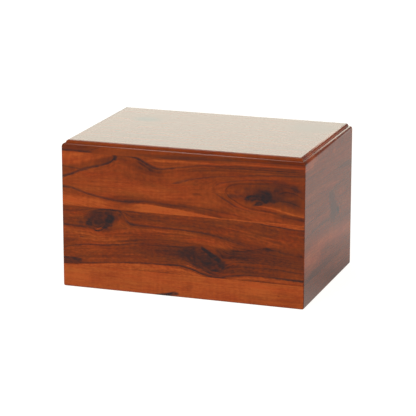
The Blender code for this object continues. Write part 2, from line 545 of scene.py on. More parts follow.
class Drawing:
    """A board's figure being drawn: grain bands, knots, lines and patches.

    Attributes:
        REACH: Longest place along or down a face that a curve can hold, in millimetres.
        WIDEST: Widest half width that it can hold, in millimetres.
        GRAIN_BEND: How far the grain bends with the quick noise, in millimetres.
        LINE_BEND: How far a line bends with the quick and the rough noise.
        PATCH_FALL: How far a patch's outline bends with them down the face.
        PATCH_SHIFT: How far it bends with them along the face.
        RING_BEND: How a knot's rings bend with them.
        RING_UNEVEN: Share of a knot's radius that they bend by.
        RING_EDGE: Share of its radius where rings end, and where they are full.
        RING_SHADE: How much darker a full ring is.
        EDGE_BEND: How far a line on the front edge bends with the quick noise.
        EDGE_END: How far in a top board's edge lines end, and where they are full.
        CLOSEST: Least distance between two guides.
    """

    REACH = 240.0
    WIDEST = 20.0
    GRAIN_BEND = (0.35, 0.0)
    LINE_BEND = (0.4, 0.22)
    PATCH_FALL = (0.8, 0.9)
    PATCH_SHIFT = (1.3, -1.1)
    RING_BEND = (1.0, 0.5)
    RING_UNEVEN = 0.13
    RING_EDGE = (1.4, 0.7)
    RING_SHADE = 0.3
    EDGE_BEND = (0.25, 0.0)
    EDGE_END = (6.2, 5.8)
    CLOSEST = 0.4

    def __init__(self, wood: LacqueredWood, figure: Figure, sheet: Sheet, place: Wire) -> None:
        """Starts with the noise that bends everything.

        Args:
            wood: The finish.
            figure: The board's figure.
            sheet: The shader tree.
            place: The place in the layout.
        """
        self.wood = wood
        self.figure = figure
        self.sheet = sheet
        self.place = place
        self.along, self.deep, self.down = sheet.split(place)
        self.quick = self.noise(QUICK)
        self.rough = self.noise(ROUGH)
        self.tone: Wire | None = None
        self.scorch: Wire | None = None

    def noise(self, layer: Grain, where: Wire | None = None) -> Wire:
        """A layer of the board's noise, at a bent place if one is given."""
        return self.sheet.noise(where or self.place, layer, self.figure.seed)

    def bent(self, value: Wire, bend: tuple[float, float]) -> Wire:
        """A place along, down or into the board, bent by the quick and the rough noise.

        Args:
            value: The place, in millimetres.
            bend: How far each of the two bends it.

        Returns:
            The bent place.
        """
        quick, rough = bend
        moved = value + self.quick * quick
        return moved + self.rough * rough if rough else moved

    def colour(self) -> Wire:
        """Draws the whole figure.

        Returns:
            The wood's colour.
        """
        figure, sheet = self.figure, self.sheet
        level = self.bent(self.down + self.noise(SLOW) * figure.drift, self.GRAIN_BEND)
        level = level - self.along * figure.fall
        flow = self.guided(level)
        for knot in figure.knots:
            flow = flow - self.parting(level, knot)
        self.tone = self.bands(sheet.joined(self.along, self.deep, flow))
        for knot in figure.knots:
            self.tone = self.tone - self.rings(knot)

        line = self.bent(self.down, self.LINE_BEND)
        for streak in figure.streaks:
            self.mark(streak.ink, self.streak(line, streak))
        patch = sheet.joined(
            self.bent(self.along, self.PATCH_SHIFT), self.bent(self.down, self.PATCH_FALL), 0.0
        )
        for blotch in figure.blotches:
            centre, radii = (*blotch.centre, 0.0), (*blotch.radii, 1.0)
            radius = sheet.oval(patch, centre, radii, math.radians(blotch.tilt))
            self.mark(blotch.ink, sheet.step(radius, 1.0, blotch.core) * blotch.strength)
        if figure.edge_streaks:
            near_edge = sheet.step(self.down, *self.EDGE_END)
            line = self.bent(self.deep, self.EDGE_BEND)
            for streak in figure.edge_streaks:
                self.mark(streak.ink, self.streak(line, streak) * near_edge)
        return self.painted()

    def follow(self, *tracks: list[tuple[float, float]]) -> tuple[Wire, Wire, Wire]:
        """Up to three numbers that follow a board's length on smooth curves.

        Args:
            *tracks: For each number, points of place along the face and value from 0 to 1.

        Returns:
            The three numbers.
        """
        share = self.along * (1 / self.REACH)
        guide = self.sheet.node("ShaderNodeRGBCurve", {"Color": self.sheet.joined(share, share, share)})
        guide.mapping.extend = "HORIZONTAL"
        for curve, track in zip(guide.mapping.curves, tracks):
            while len(curve.points) < len(track):
                curve.points.new(0.5, 0.5)
            for point, (where, value) in zip(curve.points, track):
                point.location = (where / self.REACH, value)
                point.handle_type = "AUTO_CLAMPED"
        guide.mapping.update()
        return self.sheet.split(guide.outputs[0])

    def guided(self, down: Wire) -> Wire:
        """Turns height on the face into grain level, so that the grain follows its guides.

        Args:
            down: Place down the face.

        Returns:
            The grain level, in millimetres.
        """
        sheet, guides = self.sheet, self.figure.guides
        if not guides:
            return down
        heights: list[Wire] = []
        for start in range(0, len(guides), 3):
            group = guides[start:start + 3]
            tracks = [[(where, height / self.REACH) for where, height in path] for _, path in group]
            heights += [out * self.REACH for out in self.follow(*tracks)[:len(group)]]
        level = sheet.math("MINIMUM", down - heights[0], 0.0) + guides[0][0]
        pairs = zip(zip(heights, guides), zip(heights[1:], guides[1:]))
        for (upper, (high, _)), (lower, (low, _)) in pairs:
            gap = sheet.math("MAXIMUM", lower - upper, self.CLOSEST)
            share = sheet.math("DIVIDE", down - upper, gap, clamped=True)
            level = level + share * (low - high)
        return level + sheet.math("MAXIMUM", down - heights[-1], 0.0)

    def parting(self, down: Wire, knot: Knot) -> Wire:
        """How far a knot pushes the grain aside.

        Args:
            down: Place down the face.
            knot: The knot.

        Returns:
            The shift, in millimetres.
        """
        aside = down - knot.centre[1]
        ahead = (self.along - knot.centre[0]) * (knot.radii[1] / knot.radii[0])
        reach = knot.push**2
        return aside * reach / (aside * aside + ahead * ahead + reach)

    def bands(self, grain: Wire) -> Wire:
        """The tone of the plain grain: bands, growth lines, fibres, pores, ripple and specks.

        Args:
            grain: The place, with its height bent along the grain.

        Returns:
            The tone.
        """
        wood, figure = self.wood, self.figure
        k = figure.contrast
        lines = self.noise(LINES, grain)
        late = self.sheet.step(lines, *wood.late_wood)
        tone = lines * (LINES.weight * k) - late * (wood.late_shade * k)
        for layer, where in ((BROAD, grain), (FIBRES, grain), (MOTTLE, self.place)):
            tone = tone + self.noise(layer, where) * (layer.weight * k)
        tone = tone + self.noise(RIPPLE) * RIPPLE.weight
        tone = tone + self.noise(SPECKS, grain) * (figure.specks * k)
        pores = self.sheet.step(self.noise(PORES, grain), *wood.pore_start)
        return tone + (figure.tone + wood.base_tone) - pores * PORES.weight

    def rings(self, knot: Knot) -> Wire:
        """The rings inside a knot.

        Args:
            knot: The knot.

        Returns:
            How much darker they make the wood.
        """
        x = (self.along - knot.centre[0]) / knot.radii[0]
        y = (self.down - knot.centre[1]) / knot.radii[1]
        bend = tuple(share * self.RING_UNEVEN for share in self.RING_BEND)
        radius = self.bent(self.sheet.math("SQRT", x * x + y * y), bend)
        wave = self.sheet.math("SINE", radius * (2 * math.pi * knot.rings)) * 0.5 + 0.5
        inside = self.sheet.step(radius, *self.RING_EDGE)
        return wave * inside * (self.RING_SHADE * knot.strength)

    def streak(self, down: Wire, streak: Streak) -> Wire:
        """The mask of a streak.

        Args:
            down: Place down the face.
            streak: The streak.

        Returns:
            From 0 outside it to its strength inside.
        """
        points = [(*point, 1.0, 1.0)[:4] for point in streak.path]
        middle, width, strength = self.follow(
            [(where, height / self.REACH) for where, height, _, _ in points],
            [(where, streak.width * wide / self.WIDEST) for where, _, wide, _ in points],
            [(where, min(streak.strength * strong, 1.0)) for where, _, _, strong in points],
        )
        offset = down - middle * self.REACH
        flanks = offset * (1 / streak.below), offset * (-1 / streak.above)
        far = self.sheet.math("MAXIMUM", *flanks) / (width * self.WIDEST)
        return self.sheet.step(far, 1.0, streak.core) * strength

    def mark(self, ink: Ink, mask: Wire) -> None:
        """Adds one mark to the tone or to the scorch.

        Args:
            ink: What the mark does.
            mask: Where the mark is.
        """
        if ink is Ink.GLOW:
            self.tone = self.tone + mask * self.wood.glow
        elif ink is Ink.SHADE:
            self.tone = self.tone - mask * self.wood.shade
        elif self.scorch is None:
            self.scorch = mask
        else:
            self.scorch = self.sheet.math("MAXIMUM", self.scorch, mask)

    def painted(self) -> Wire:
        """Turns tone and scorch into a colour.

        Returns:
            The colour.
        """
        sheet, wood = self.sheet, self.wood
        ramp = sheet.node("ShaderNodeValToRGB", {0: self.tone})
        elements = ramp.color_ramp.elements
        while len(elements) < len(wood.palette):
            elements.new(0.5)
        for element, stop, colour in zip(elements, wood.stops, wood.palette):
            element.position = stop
            element.color = (*colour, 1.0)
        warmth = self.noise(WARMTH) * WARMTH.weight + 1.0
        inputs = {0: ramp.outputs[0], 1: sheet.joined(1.0, warmth, warmth)}
        tinted = sheet.first("ShaderNodeVectorMath", inputs, operation="MULTIPLY")
        if self.scorch is None:
            return tinted
        cover, uneven = wood.scorch_cover
        return sheet.mixed(self.scorch * (cover - self.rough * uneven), tinted, (*wood.scorched, 1.0))


@dataclass(frozen=True)
class BrushedBrass:
    """Plain brass, slightly dulled.

    Attributes:
        bright: Its clean colour, linear.
        dull: Its tarnished colour, linear.
        roughness: Roughness where it is clean.
        dull_roughness: Added to that where it is tarnished.
        tarnish_start: Noise from which tarnish starts, and at which it is full.
    """

    bright: Colour = (0.62, 0.44, 0.19)
    dull: Colour = (0.33, 0.21, 0.08)
    roughness: float = 0.32
    dull_roughness: float = 0.25
    tarnish_start: tuple[float, float] = (-0.6, 1.2)

    def material(self, name: str) -> bpy.types.Material:
        """Makes the material.

        Args:
            name: The material's name.

        Returns:
            The material.
        """
        material, sheet, sockets = new_material(name, {"Metallic": 1.0})
        here = sheet.scaled(sheet.node("ShaderNodeTexCoord").outputs["Object"], (1 / MM,) * 3)
        tarnish = sheet.step(sheet.noise(here, TARNISH), *self.tarnish_start)
        colour = sheet.mixed(tarnish, (*self.bright, 1.0), (*self.dull, 1.0))
        sheet.feed(colour, sockets["Base Color"])
        sheet.feed(tarnish * self.dull_roughness + self.roughness, sockets["Roughness"])
        return material


def kept_mesh(bm: bmesh.types.BMesh, mesh: bpy.types.Mesh) -> bpy.types.Mesh:
    """Writes a mesh that was being edited to its data, and frees the edited one.

    Args:
        bm: The edited mesh.
        mesh: The data it is written to.

    Returns:
        The data.
    """
    bm.to_mesh(mesh)
    bm.free()
    return mesh


def box_mesh(name: str, low: Place, high: Place, weight: Callable | None = None) -> bpy.types.Mesh:
    """Makes a box between two corners.

    Args:
        name: The mesh's name.
        low: Its lowest corner.
        high: Its highest corner.
        weight: Gives an edge its share of the Bevel's width.

    Returns:
        The mesh.
    """
    bm = bmesh.new()
    bmesh.ops.create_cube(bm, size=1.0)
    for vert in bm.verts:
        vert.co = [end if part > 0 else start for part, start, end in zip(vert.co, low, high)]
    if weight is not None:
        layer = bm.edges.layers.float.new("bevel_weight_edge")
        for edge in bm.edges:
            edge[layer] = weight(edge)
    return kept_mesh(bm, bpy.data.meshes.new(name))


def add_object(name: str, data: bpy.types.ID) -> bpy.types.Object:
    """Adds an object at the origin.

    Args:
        name: Its name.
        data: Its mesh, light or camera.

    Returns:
        The object.
    """
    obj = bpy.data.objects.new(name, data)
    bpy.context.scene.collection.objects.link(obj)
    return obj


def is_upright(edge: bmesh.types.BMEdge) -> bool:
    """Whether an edge runs up and down."""
    start, end = (vert.co for vert in edge.verts)
    return abs(start.z - end.z) > SAME_HEIGHT


def lies_at(edge: bmesh.types.BMEdge, level: float) -> bool:
    """Whether an edge lies at a height."""
    return all(abs(vert.co.z - level) < SAME_HEIGHT for vert in edge.verts)


def add_bevel(obj: bpy.types.Object, radius: float, segments: int) -> None:
    """Rounds an object's weighted edges.

    Args:
        obj: The object.
        radius: Radius of an edge with a weight of 1.
        segments: Faces across each rounding.
    """
    bevel = obj.modifiers.new("rounding", "BEVEL")
    bevel.limit_method = "WEIGHT"
    bevel.width = radius
    bevel.segments = segments


def add_boolean(obj: bpy.types.Object, other: bpy.types.Object, operation: str) -> None:
    """Cuts an object with another, or joins the two.

    Args:
        obj: The object that is changed.
        other: The other.
        operation: DIFFERENCE or UNION.
    """
    boolean = obj.modifiers.new(operation.lower(), "BOOLEAN")
    boolean.operation = operation
    boolean.object = other
    boolean.solver = "EXACT"


def settle(obj: bpy.types.Object, *helpers: bpy.types.Object) -> bpy.types.Object:
    """Applies an object's modifiers and removes the objects that they used.

    Args:
        obj: The object.
        *helpers: Objects that are no longer needed.

    Returns:
        The object.
    """
    graph = bpy.context.evaluated_depsgraph_get()
    mesh = bpy.data.meshes.new_from_object(obj.evaluated_get(graph))
    obj.modifiers.clear()
    obj.data = mesh
    mesh.name = obj.name
    for helper in helpers:
        bpy.data.objects.remove(helper, do_unlink=True)
    return obj


def smooth_roundings(mesh: bpy.types.Mesh) -> None:
    """Shades the roundings smooth and keeps flat faces flat.

    Args:
        mesh: The mesh.
    """
    bm = bmesh.new()
    bm.from_mesh(mesh)
    bmesh.ops.dissolve_degenerate(bm, dist=SMALLEST_EDGE, edges=bm.edges)
    bm.normal_update()
    for face in bm.faces:
        face.smooth = True
    for edge in bm.edges:
        flat = any(max(map(abs, face.normal)) > FLAT for face in edge.link_faces)
        bent = len(edge.link_faces) == 2 and edge.calc_face_angle(0.0) > SHARPEST
        edge.smooth = not (flat or bent)
    kept_mesh(bm, mesh)


def finish_piece(
    obj: bpy.types.Object, material: bpy.types.Material, slot: str, *nodes: str
) -> None:
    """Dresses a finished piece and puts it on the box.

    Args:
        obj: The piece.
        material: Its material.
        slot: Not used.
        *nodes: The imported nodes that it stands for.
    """
    obj.data.materials.clear()
    obj.data.materials.append(material)
    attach(obj, BODY)
    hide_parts(*nodes)
    LOG.info("%s: %d faces, for %s", obj.name, len(obj.data.polygons), ", ".join(nodes))


class GeometrySheet(Sheet):
    """A Geometry Nodes tree with named inputs."""

    KINDS = {
        float: "NodeSocketFloat",
        int: "NodeSocketInt",
        bpy.types.Material: "NodeSocketMaterial",
    }

    def __init__(self, name: str, inputs: dict[str, object]) -> None:
        """Starts a tree.

        Args:
            name: The tree's name.
            inputs: Its named inputs and the values that the modifier gives them.
        """
        tree = bpy.data.node_groups.new(name, "GeometryNodeTree")
        super().__init__(tree)
        for side in ("INPUT", "OUTPUT"):
            tree.interface.new_socket("Geometry", in_out=side, socket_type="NodeSocketGeometry")
        self.values = inputs
        self.keys: dict[str, str] = {}
        for key, value in inputs.items():
            kind = next(word for base, word in self.KINDS.items() if isinstance(value, base))
            made = tree.interface.new_socket(key, in_out="INPUT", socket_type=kind)
            self.keys[key] = made.identifier
        self.entry = self.node("NodeGroupInput")

    def given(self, key: str) -> Wire:
        """The value of a named input."""
        return Wire(self, self.entry.outputs[key])

    def end(self, geometry: Wire) -> None:
        """Realizes the instances, sets the material and closes the tree.

        Args:
            geometry: The finished shape.
        """
        real = self.first("GeometryNodeRealizeInstances", {0: geometry})
        inputs = {"Geometry": real, "Material": self.given("Material")}
        self.node("NodeGroupOutput", {0: self.first("GeometryNodeSetMaterial", inputs)})

    def moved(self, geometry: Wire, **change: Wire) -> Wire:
        """A shape with a Translation or a Rotation."""
        return self.first("GeometryNodeTransform", {"Geometry": geometry, **change})

    def raised(self, geometry: Wire, height: Wire | float) -> Wire:
        """A shape moved upwards."""
        return self.moved(geometry, Translation=self.joined(0.0, 0.0, height))

    def combined(self, operation: str, first: Wire | None, *others: object) -> Wire:
        """Shapes cut from one another, joined or crossed, exactly.

        Args:
            operation: DIFFERENCE, UNION or INTERSECT.
            first: The shape that the others are cut from, for a DIFFERENCE.
            *others: The other shapes.

        Returns:
            The result.
        """
        made = self.node("GeometryNodeMeshBoolean", operation=operation, solver="EXACT")
        if first is not None:
            self.feed(first, made.inputs["Mesh 1"])
        for other in others:
            self.feed(other, made.inputs["Mesh 2"])
        return Wire(self, made.outputs[0])

    def run(self, obj: bpy.types.Object) -> bpy.types.Object:
        """Runs the tree on an object and keeps the result as a plain mesh.

        Args:
            obj: The object.

        Returns:
            The object.
        """
        modifier = obj.modifiers.new(self.tree.name, "NODES")
        modifier.node_group = self.tree
        for key, value in self.values.items():
            modifier[self.keys[key]] = value
        return settle(obj)


@dataclass
class Walls:
    """The four mitred walls, each of three boards glued edge to edge.

    Attributes:
        width: Width of the box.
        depth: Depth of the box.
        start: Height from which figures are laid out.
        top: Height of the walls.
        seams: Heights of the glued seams, from the underside up.
        thickness: Thickness of a wall.
        rim: Thickness of the wall outside the rebate.
        shoulder: Height of the rebate.
        corner_radius: Radius of the upright edges.
        foot_radius: Radius of the bottom edges.
        joint: Width of a closed glue joint.
        segments: Faces across a rounding.
    """

    width: float
    depth: float
    start: float
    top: float
    seams: tuple[float, ...]
    thickness: float
    rim: float
    shoulder: float
    corner_radius: float = 0.0013
    foot_radius: float = 0.0020
    joint: float = 0.00003
    segments: int = 8

    SIDES = ("front", "right", "back", "left")
    COURSES = ("base_strip", "lower_board", "upper_board")
    OVERRUN = 0.004

    def build(self, wood: LacqueredWood, figures: dict[str, Figure]) -> None:
        """Makes the twelve boards.

        Args:
            wood: Their finish.
            figures: The figure of each board, by its node's name.
        """
        ring = self.ring()
        for side, wall in enumerate(self.SIDES):
            across = side % 2
            length = self.depth if across else self.width
            distance = (self.width if across else self.depth) / 2
            face = Face.of_wall(side, length, distance, self.start)
            for course, name in enumerate(self.COURSES):
                node = f"{wall}_{name}"
                material = wood.material(node + "_wood", figures[node], face)
                board = add_object(node + "_faced", ring.copy())
                sheet = self.board_tree(node, side, length, distance, course, material)
                sheet.run(board)
                smooth_roundings(board.data)
                finish_piece(board, material, "lacquered_wood", node)

    def ring(self) -> bpy.types.Mesh:
        """All four walls in one, rounded outside and rebated.

        Returns:
            The mesh.
        """

        def weight(edge: bmesh.types.BMEdge) -> float:
            """An edge's share of the rounding at the foot.

            Args:
                edge: The edge.

            Returns:
                The share, from 0 to 1, or what makes the corner radius.
            """
            if is_upright(edge):
                return self.corner_radius / self.foot_radius
            return 1.0 if lies_at(edge, 0.0) else 0.0

        x, y = self.width / 2, self.depth / 2
        ring = add_object("ring", box_mesh("ring", (-x, -y, 0.0), (x, y, self.top), weight))
        add_bevel(ring, self.foot_radius, self.segments)
        hollows = []
        for inset, top in ((self.thickness, self.top + self.OVERRUN), (self.rim, self.shoulder)):
            low = (inset - x, inset - y, -self.OVERRUN)
            high = (x - inset, y - inset, top)
            hollows.append(add_object("hollow", box_mesh("hollow", low, high)))
            add_boolean(ring, hollows[-1], "DIFFERENCE")
        mesh = settle(ring, *hollows).data
        bpy.data.objects.remove(ring, do_unlink=True)
        return mesh

    def board_tree(
        self,
        name: str,
        side: int,
        length: float,
        distance: float,
        course: int,
        material: bpy.types.Material,
    ) -> GeometrySheet:
        """The tree that cuts one board out of the ring, with mitred ends.

        Args:
            name: The board's name.
            side: Quarter turns from the front wall.
            length: The wall's length.
            distance: From the middle of the box to the wall's face.
            course: Number of the board, from the underside up.
            material: The board's material.

        Returns:
            The tree.
        """
        levels = (-self.OVERRUN, *self.seams, self.top + self.joint / 2)
        sheet = GeometrySheet(
            name + "_cut",
            {
                "Length": length,
                "Distance": distance,
                "Thickness": self.thickness + self.OVERRUN,
                "Bottom": levels[course] + self.joint / 2,
                "Top": levels[course + 1] - self.joint / 2,
                "Joint": self.joint,
                "Turn": side * math.pi / 2,
                "Material": material,
            },
        )
        given = sheet.given
        cube = sheet.first("GeometryNodeMeshCube", {"Size": (2.0, 2.0, 2.0)})
        x, y, z = sheet.split(sheet.first("GeometryNodeInputPosition"))
        outer = -1.0 * given("Distance") - self.OVERRUN
        inner = given("Thickness") - given("Distance")
        level = outer + (inner - outer) * (y * 0.5 + 0.5)
        reach = given("Length") * 0.5 - given("Distance") - level - given("Joint") * math.sqrt(0.5)
        height = given("Bottom") + (given("Top") - given("Bottom")) * (z * 0.5 + 0.5)
        inputs = {"Geometry": cube, "Position": sheet.joined(x * reach, level, height)}
        slab = sheet.first("GeometryNodeSetPosition", inputs)
        turned = sheet.moved(slab, Rotation=sheet.joined(0.0, 0.0, given("Turn")))
        ring = sheet.entry.outputs["Geometry"]
        sheet.end(sheet.combined("INTERSECT", None, ring, turned))
        return sheet


@dataclass
class TopBoard:
    """The top board, with a rounded nose, a ledge and a rounded raised field.

    Attributes:
        width: Its width.
        depth: Its depth.
        underside: Height of its underside.
        ledge: Height of the ledge.
        top: Height of its upper face.
        nose_radius: Radius of the nose.
        ledge_width: Width of the ledge.
        ovolo_radius: Radius of the raised field's edge.
        corner_radius: Radius of its upright corners.
        segments: Faces across a rounding.
    """

    width: float
    depth: float
    underside: float
    ledge: float
    top: float
    nose_radius: float = 0.0030
    ledge_width: float = 0.0003
    ovolo_radius: float = 0.0027
    corner_radius: float = 0.0013
    segments: int = 8

    NODE = "top_board"

    def build(self, wood: LacqueredWood, figure: Figure) -> None:
        """Makes the board.

        Args:
            wood: Its finish.
            figure: Its figure.
        """

        def nose(edge: bmesh.types.BMEdge) -> float:
            """An edge's share of the nose's rounding.

            Args:
                edge: The edge.

            Returns:
                The share, from 0 to 1, or what makes the corner radius.
            """
            if is_upright(edge):
                return self.corner_radius / self.nose_radius
            return 1.0 if lies_at(edge, self.ledge) else 0.0

        def ovolo(edge: bmesh.types.BMEdge) -> float:
            """An edge's share of the field's rounding."""
            return 1.0 if lies_at(edge, self.top) else 0.0

        x, y = self.width / 2, self.depth / 2
        slab = box_mesh("slab", (-x, -y, self.underside), (x, y, self.ledge), nose)
        board = add_object(self.NODE + "_moulded", slab)
        add_bevel(board, self.nose_radius, self.segments)
        inset = self.nose_radius + self.ledge_width
        foot = (self.underside + self.ledge) / 2
        corners = (inset - x, inset - y, foot), (x - inset, y - inset, self.top)
        raised = box_mesh("field", *corners, ovolo)
        field = add_object("field", raised)
        add_bevel(field, self.ovolo_radius, self.segments)
        add_boolean(board, field, "UNION")
        settle(board, field)
        smooth_roundings(board.data)
        face = Face.of_board(self.width, self.depth, self.top, True)
        material = wood.material(self.NODE + "_wood", figure, face)
        finish_piece(board, material, "lacquered_wood", self.NODE)


@dataclass
class Screws:
    """The four countersunk screws of the base panel, with a thread and a cross slot each.

    Attributes:
        spread: Distances between them, along and across the box.
        level: Height of their heads' faces.
        length: Length of a screw.
        head_radius: Radius of a head.
        shank_radius: Radius of a shank.
        tip_length: Length of the pointed end.
        slot: Length, width and depth of the cross slot's arms.
        thread_turns: Turns of the thread.
        thread_height: How far the thread stands proud.
        sides: Faces round a screw.
        seed: Fixes how far each screw is turned.
        SUNK: Share of the head's height at which the shank starts inside it.
        POINT: Radius of the tip, as a share of the shank's.
        PLAIN_SHANK: Share of the shank that has no thread.
    """

    spread: tuple[float, float]
    level: float
    length: float
    head_radius: float
    shank_radius: float = 0.0013
    tip_length: float = 0.0035
    slot: Place = (0.0030, 0.0008, 0.0009)
    thread_turns: float = 9.0
    thread_height: float = 0.00022
    sides: int = 32
    seed: int = 7

    SUNK = 0.8
    POINT = 0.3
    PLAIN_SHANK = 0.3

    def build(self, brass: BrushedBrass) -> None:
        """Makes the four screws as one piece.

        Args:
            brass: Their finish.
        """
        material = brass.material("screw_brass")
        sheet = self.tree(material)
        screws = add_object("base_screws", bpy.data.meshes.new("base_screws"))
        sheet.run(screws)
        smooth_roundings(screws.data)
        nodes = [f"base_screw_{number}" for number in range(1, 5)]
        finish_piece(screws, material, "screw_brass", *nodes)

    def tree(self, material: bpy.types.Material) -> GeometrySheet:
        """The tree that makes one screw and repeats it at the four places.

        Args:
            material: The screws' material.

        Returns:
            The tree.
        """
        sheet = GeometrySheet(
            "base_screws",
            {
                "Spread Along": self.spread[0],
                "Spread Across": self.spread[1],
                "Level": self.level,
                "Length": self.length,
                "Head Radius": self.head_radius,
                "Shank Radius": self.shank_radius,
                "Tip Length": self.tip_length,
                "Thread Turns": self.thread_turns,
                "Thread Height": self.thread_height,
                "Seed": self.seed,
                "Material": material,
            },
        )
        given = sheet.given
        grid = {"Size X": given("Spread Along"), "Size Y": given("Spread Across")}
        spots = sheet.first("GeometryNodeMeshGrid", {**grid, "Vertices X": 2, "Vertices Y": 2})
        inputs = {"Seed": given("Seed"), 3: math.pi}
        random = sheet.node("FunctionNodeRandomValue", inputs, data_type="FLOAT")
        copies = {
            "Points": sheet.raised(spots, given("Level")),
            "Instance": self.one_screw(sheet),
            "Rotation": sheet.joined(0.0, 0.0, random.outputs[1]),
        }
        sheet.end(sheet.first("GeometryNodeInstanceOnPoints", copies))
        return sheet

    def one_screw(self, sheet: GeometrySheet) -> Wire:
        """One screw, head down at the origin.

        Args:
            sheet: The tree.

        Returns:
            Its shape.
        """
        given = sheet.given
        shank = given("Shank Radius")
        head_height = given("Head Radius") - shank
        shank_top = given("Length") - given("Tip Length")
        head = self.cone(sheet, given("Head Radius"), shank, 0.0, head_height)
        body = self.cone(sheet, shank, shank, head_height * self.SUNK, shank_top)
        tip = self.cone(sheet, shank, shank * self.POINT, shank_top, given("Length"))
        solid = sheet.combined("UNION", None, head, body, tip)
        long, wide, deep = self.slot
        arms = ((long, wide, 2 * deep), (wide, long, 2 * deep))
        cubes = [sheet.first("GeometryNodeMeshCube", {"Size": size}) for size in arms]
        whole = sheet.node("GeometryNodeJoinGeometry")
        sheet.feed(sheet.combined("DIFFERENCE", solid, *cubes), whole.inputs[0])
        sheet.feed(self.thread(sheet, head_height, shank_top), whole.inputs[0])
        return Wire(sheet, whole.outputs[0])

    def cone(
        self, sheet: GeometrySheet, below: Wire, above: Wire, bottom: Wire | float, top: Wire
    ) -> Wire:
        """A cone or cylinder between two heights.

        Args:
            sheet: The tree.
            below: Radius at its lower end.
            above: Radius at its upper end.
            bottom: Height of its lower end.
            top: Height of its upper end.

        Returns:
            Its shape.
        """
        radii = {"Radius Top": above, "Radius Bottom": below}
        inputs = {"Vertices": self.sides, **radii, "Depth": top - bottom}
        return sheet.raised(sheet.first("GeometryNodeMeshCone", inputs), bottom)

    def thread(self, sheet: GeometrySheet, bottom: Wire, top: Wire) -> Wire:
        """The thread round the shank.

        Args:
            sheet: The tree.
            bottom: Height of the head's upper end.
            top: Height of the shank's upper end.

        Returns:
            Its shape.
        """
        given = sheet.given
        start = bottom + (top - bottom) * self.PLAIN_SHANK
        inputs = {
            "Resolution": self.sides // 2,
            "Rotations": given("Thread Turns"),
            "Start Radius": given("Shank Radius"),
            "End Radius": given("Shank Radius"),
            "Height": top - start,
        }
        spiral = sheet.first("GeometryNodeCurveSpiral", inputs)
        inputs = {"Resolution": 4, "Radius": given("Thread Height")}
        ridge = sheet.first("GeometryNodeCurvePrimitiveCircle", inputs)
        inputs = {"Curve": spiral, "Profile Curve": ridge, "Fill Caps": True}
        return sheet.raised(sheet.first("GeometryNodeCurveToMesh", inputs), start)


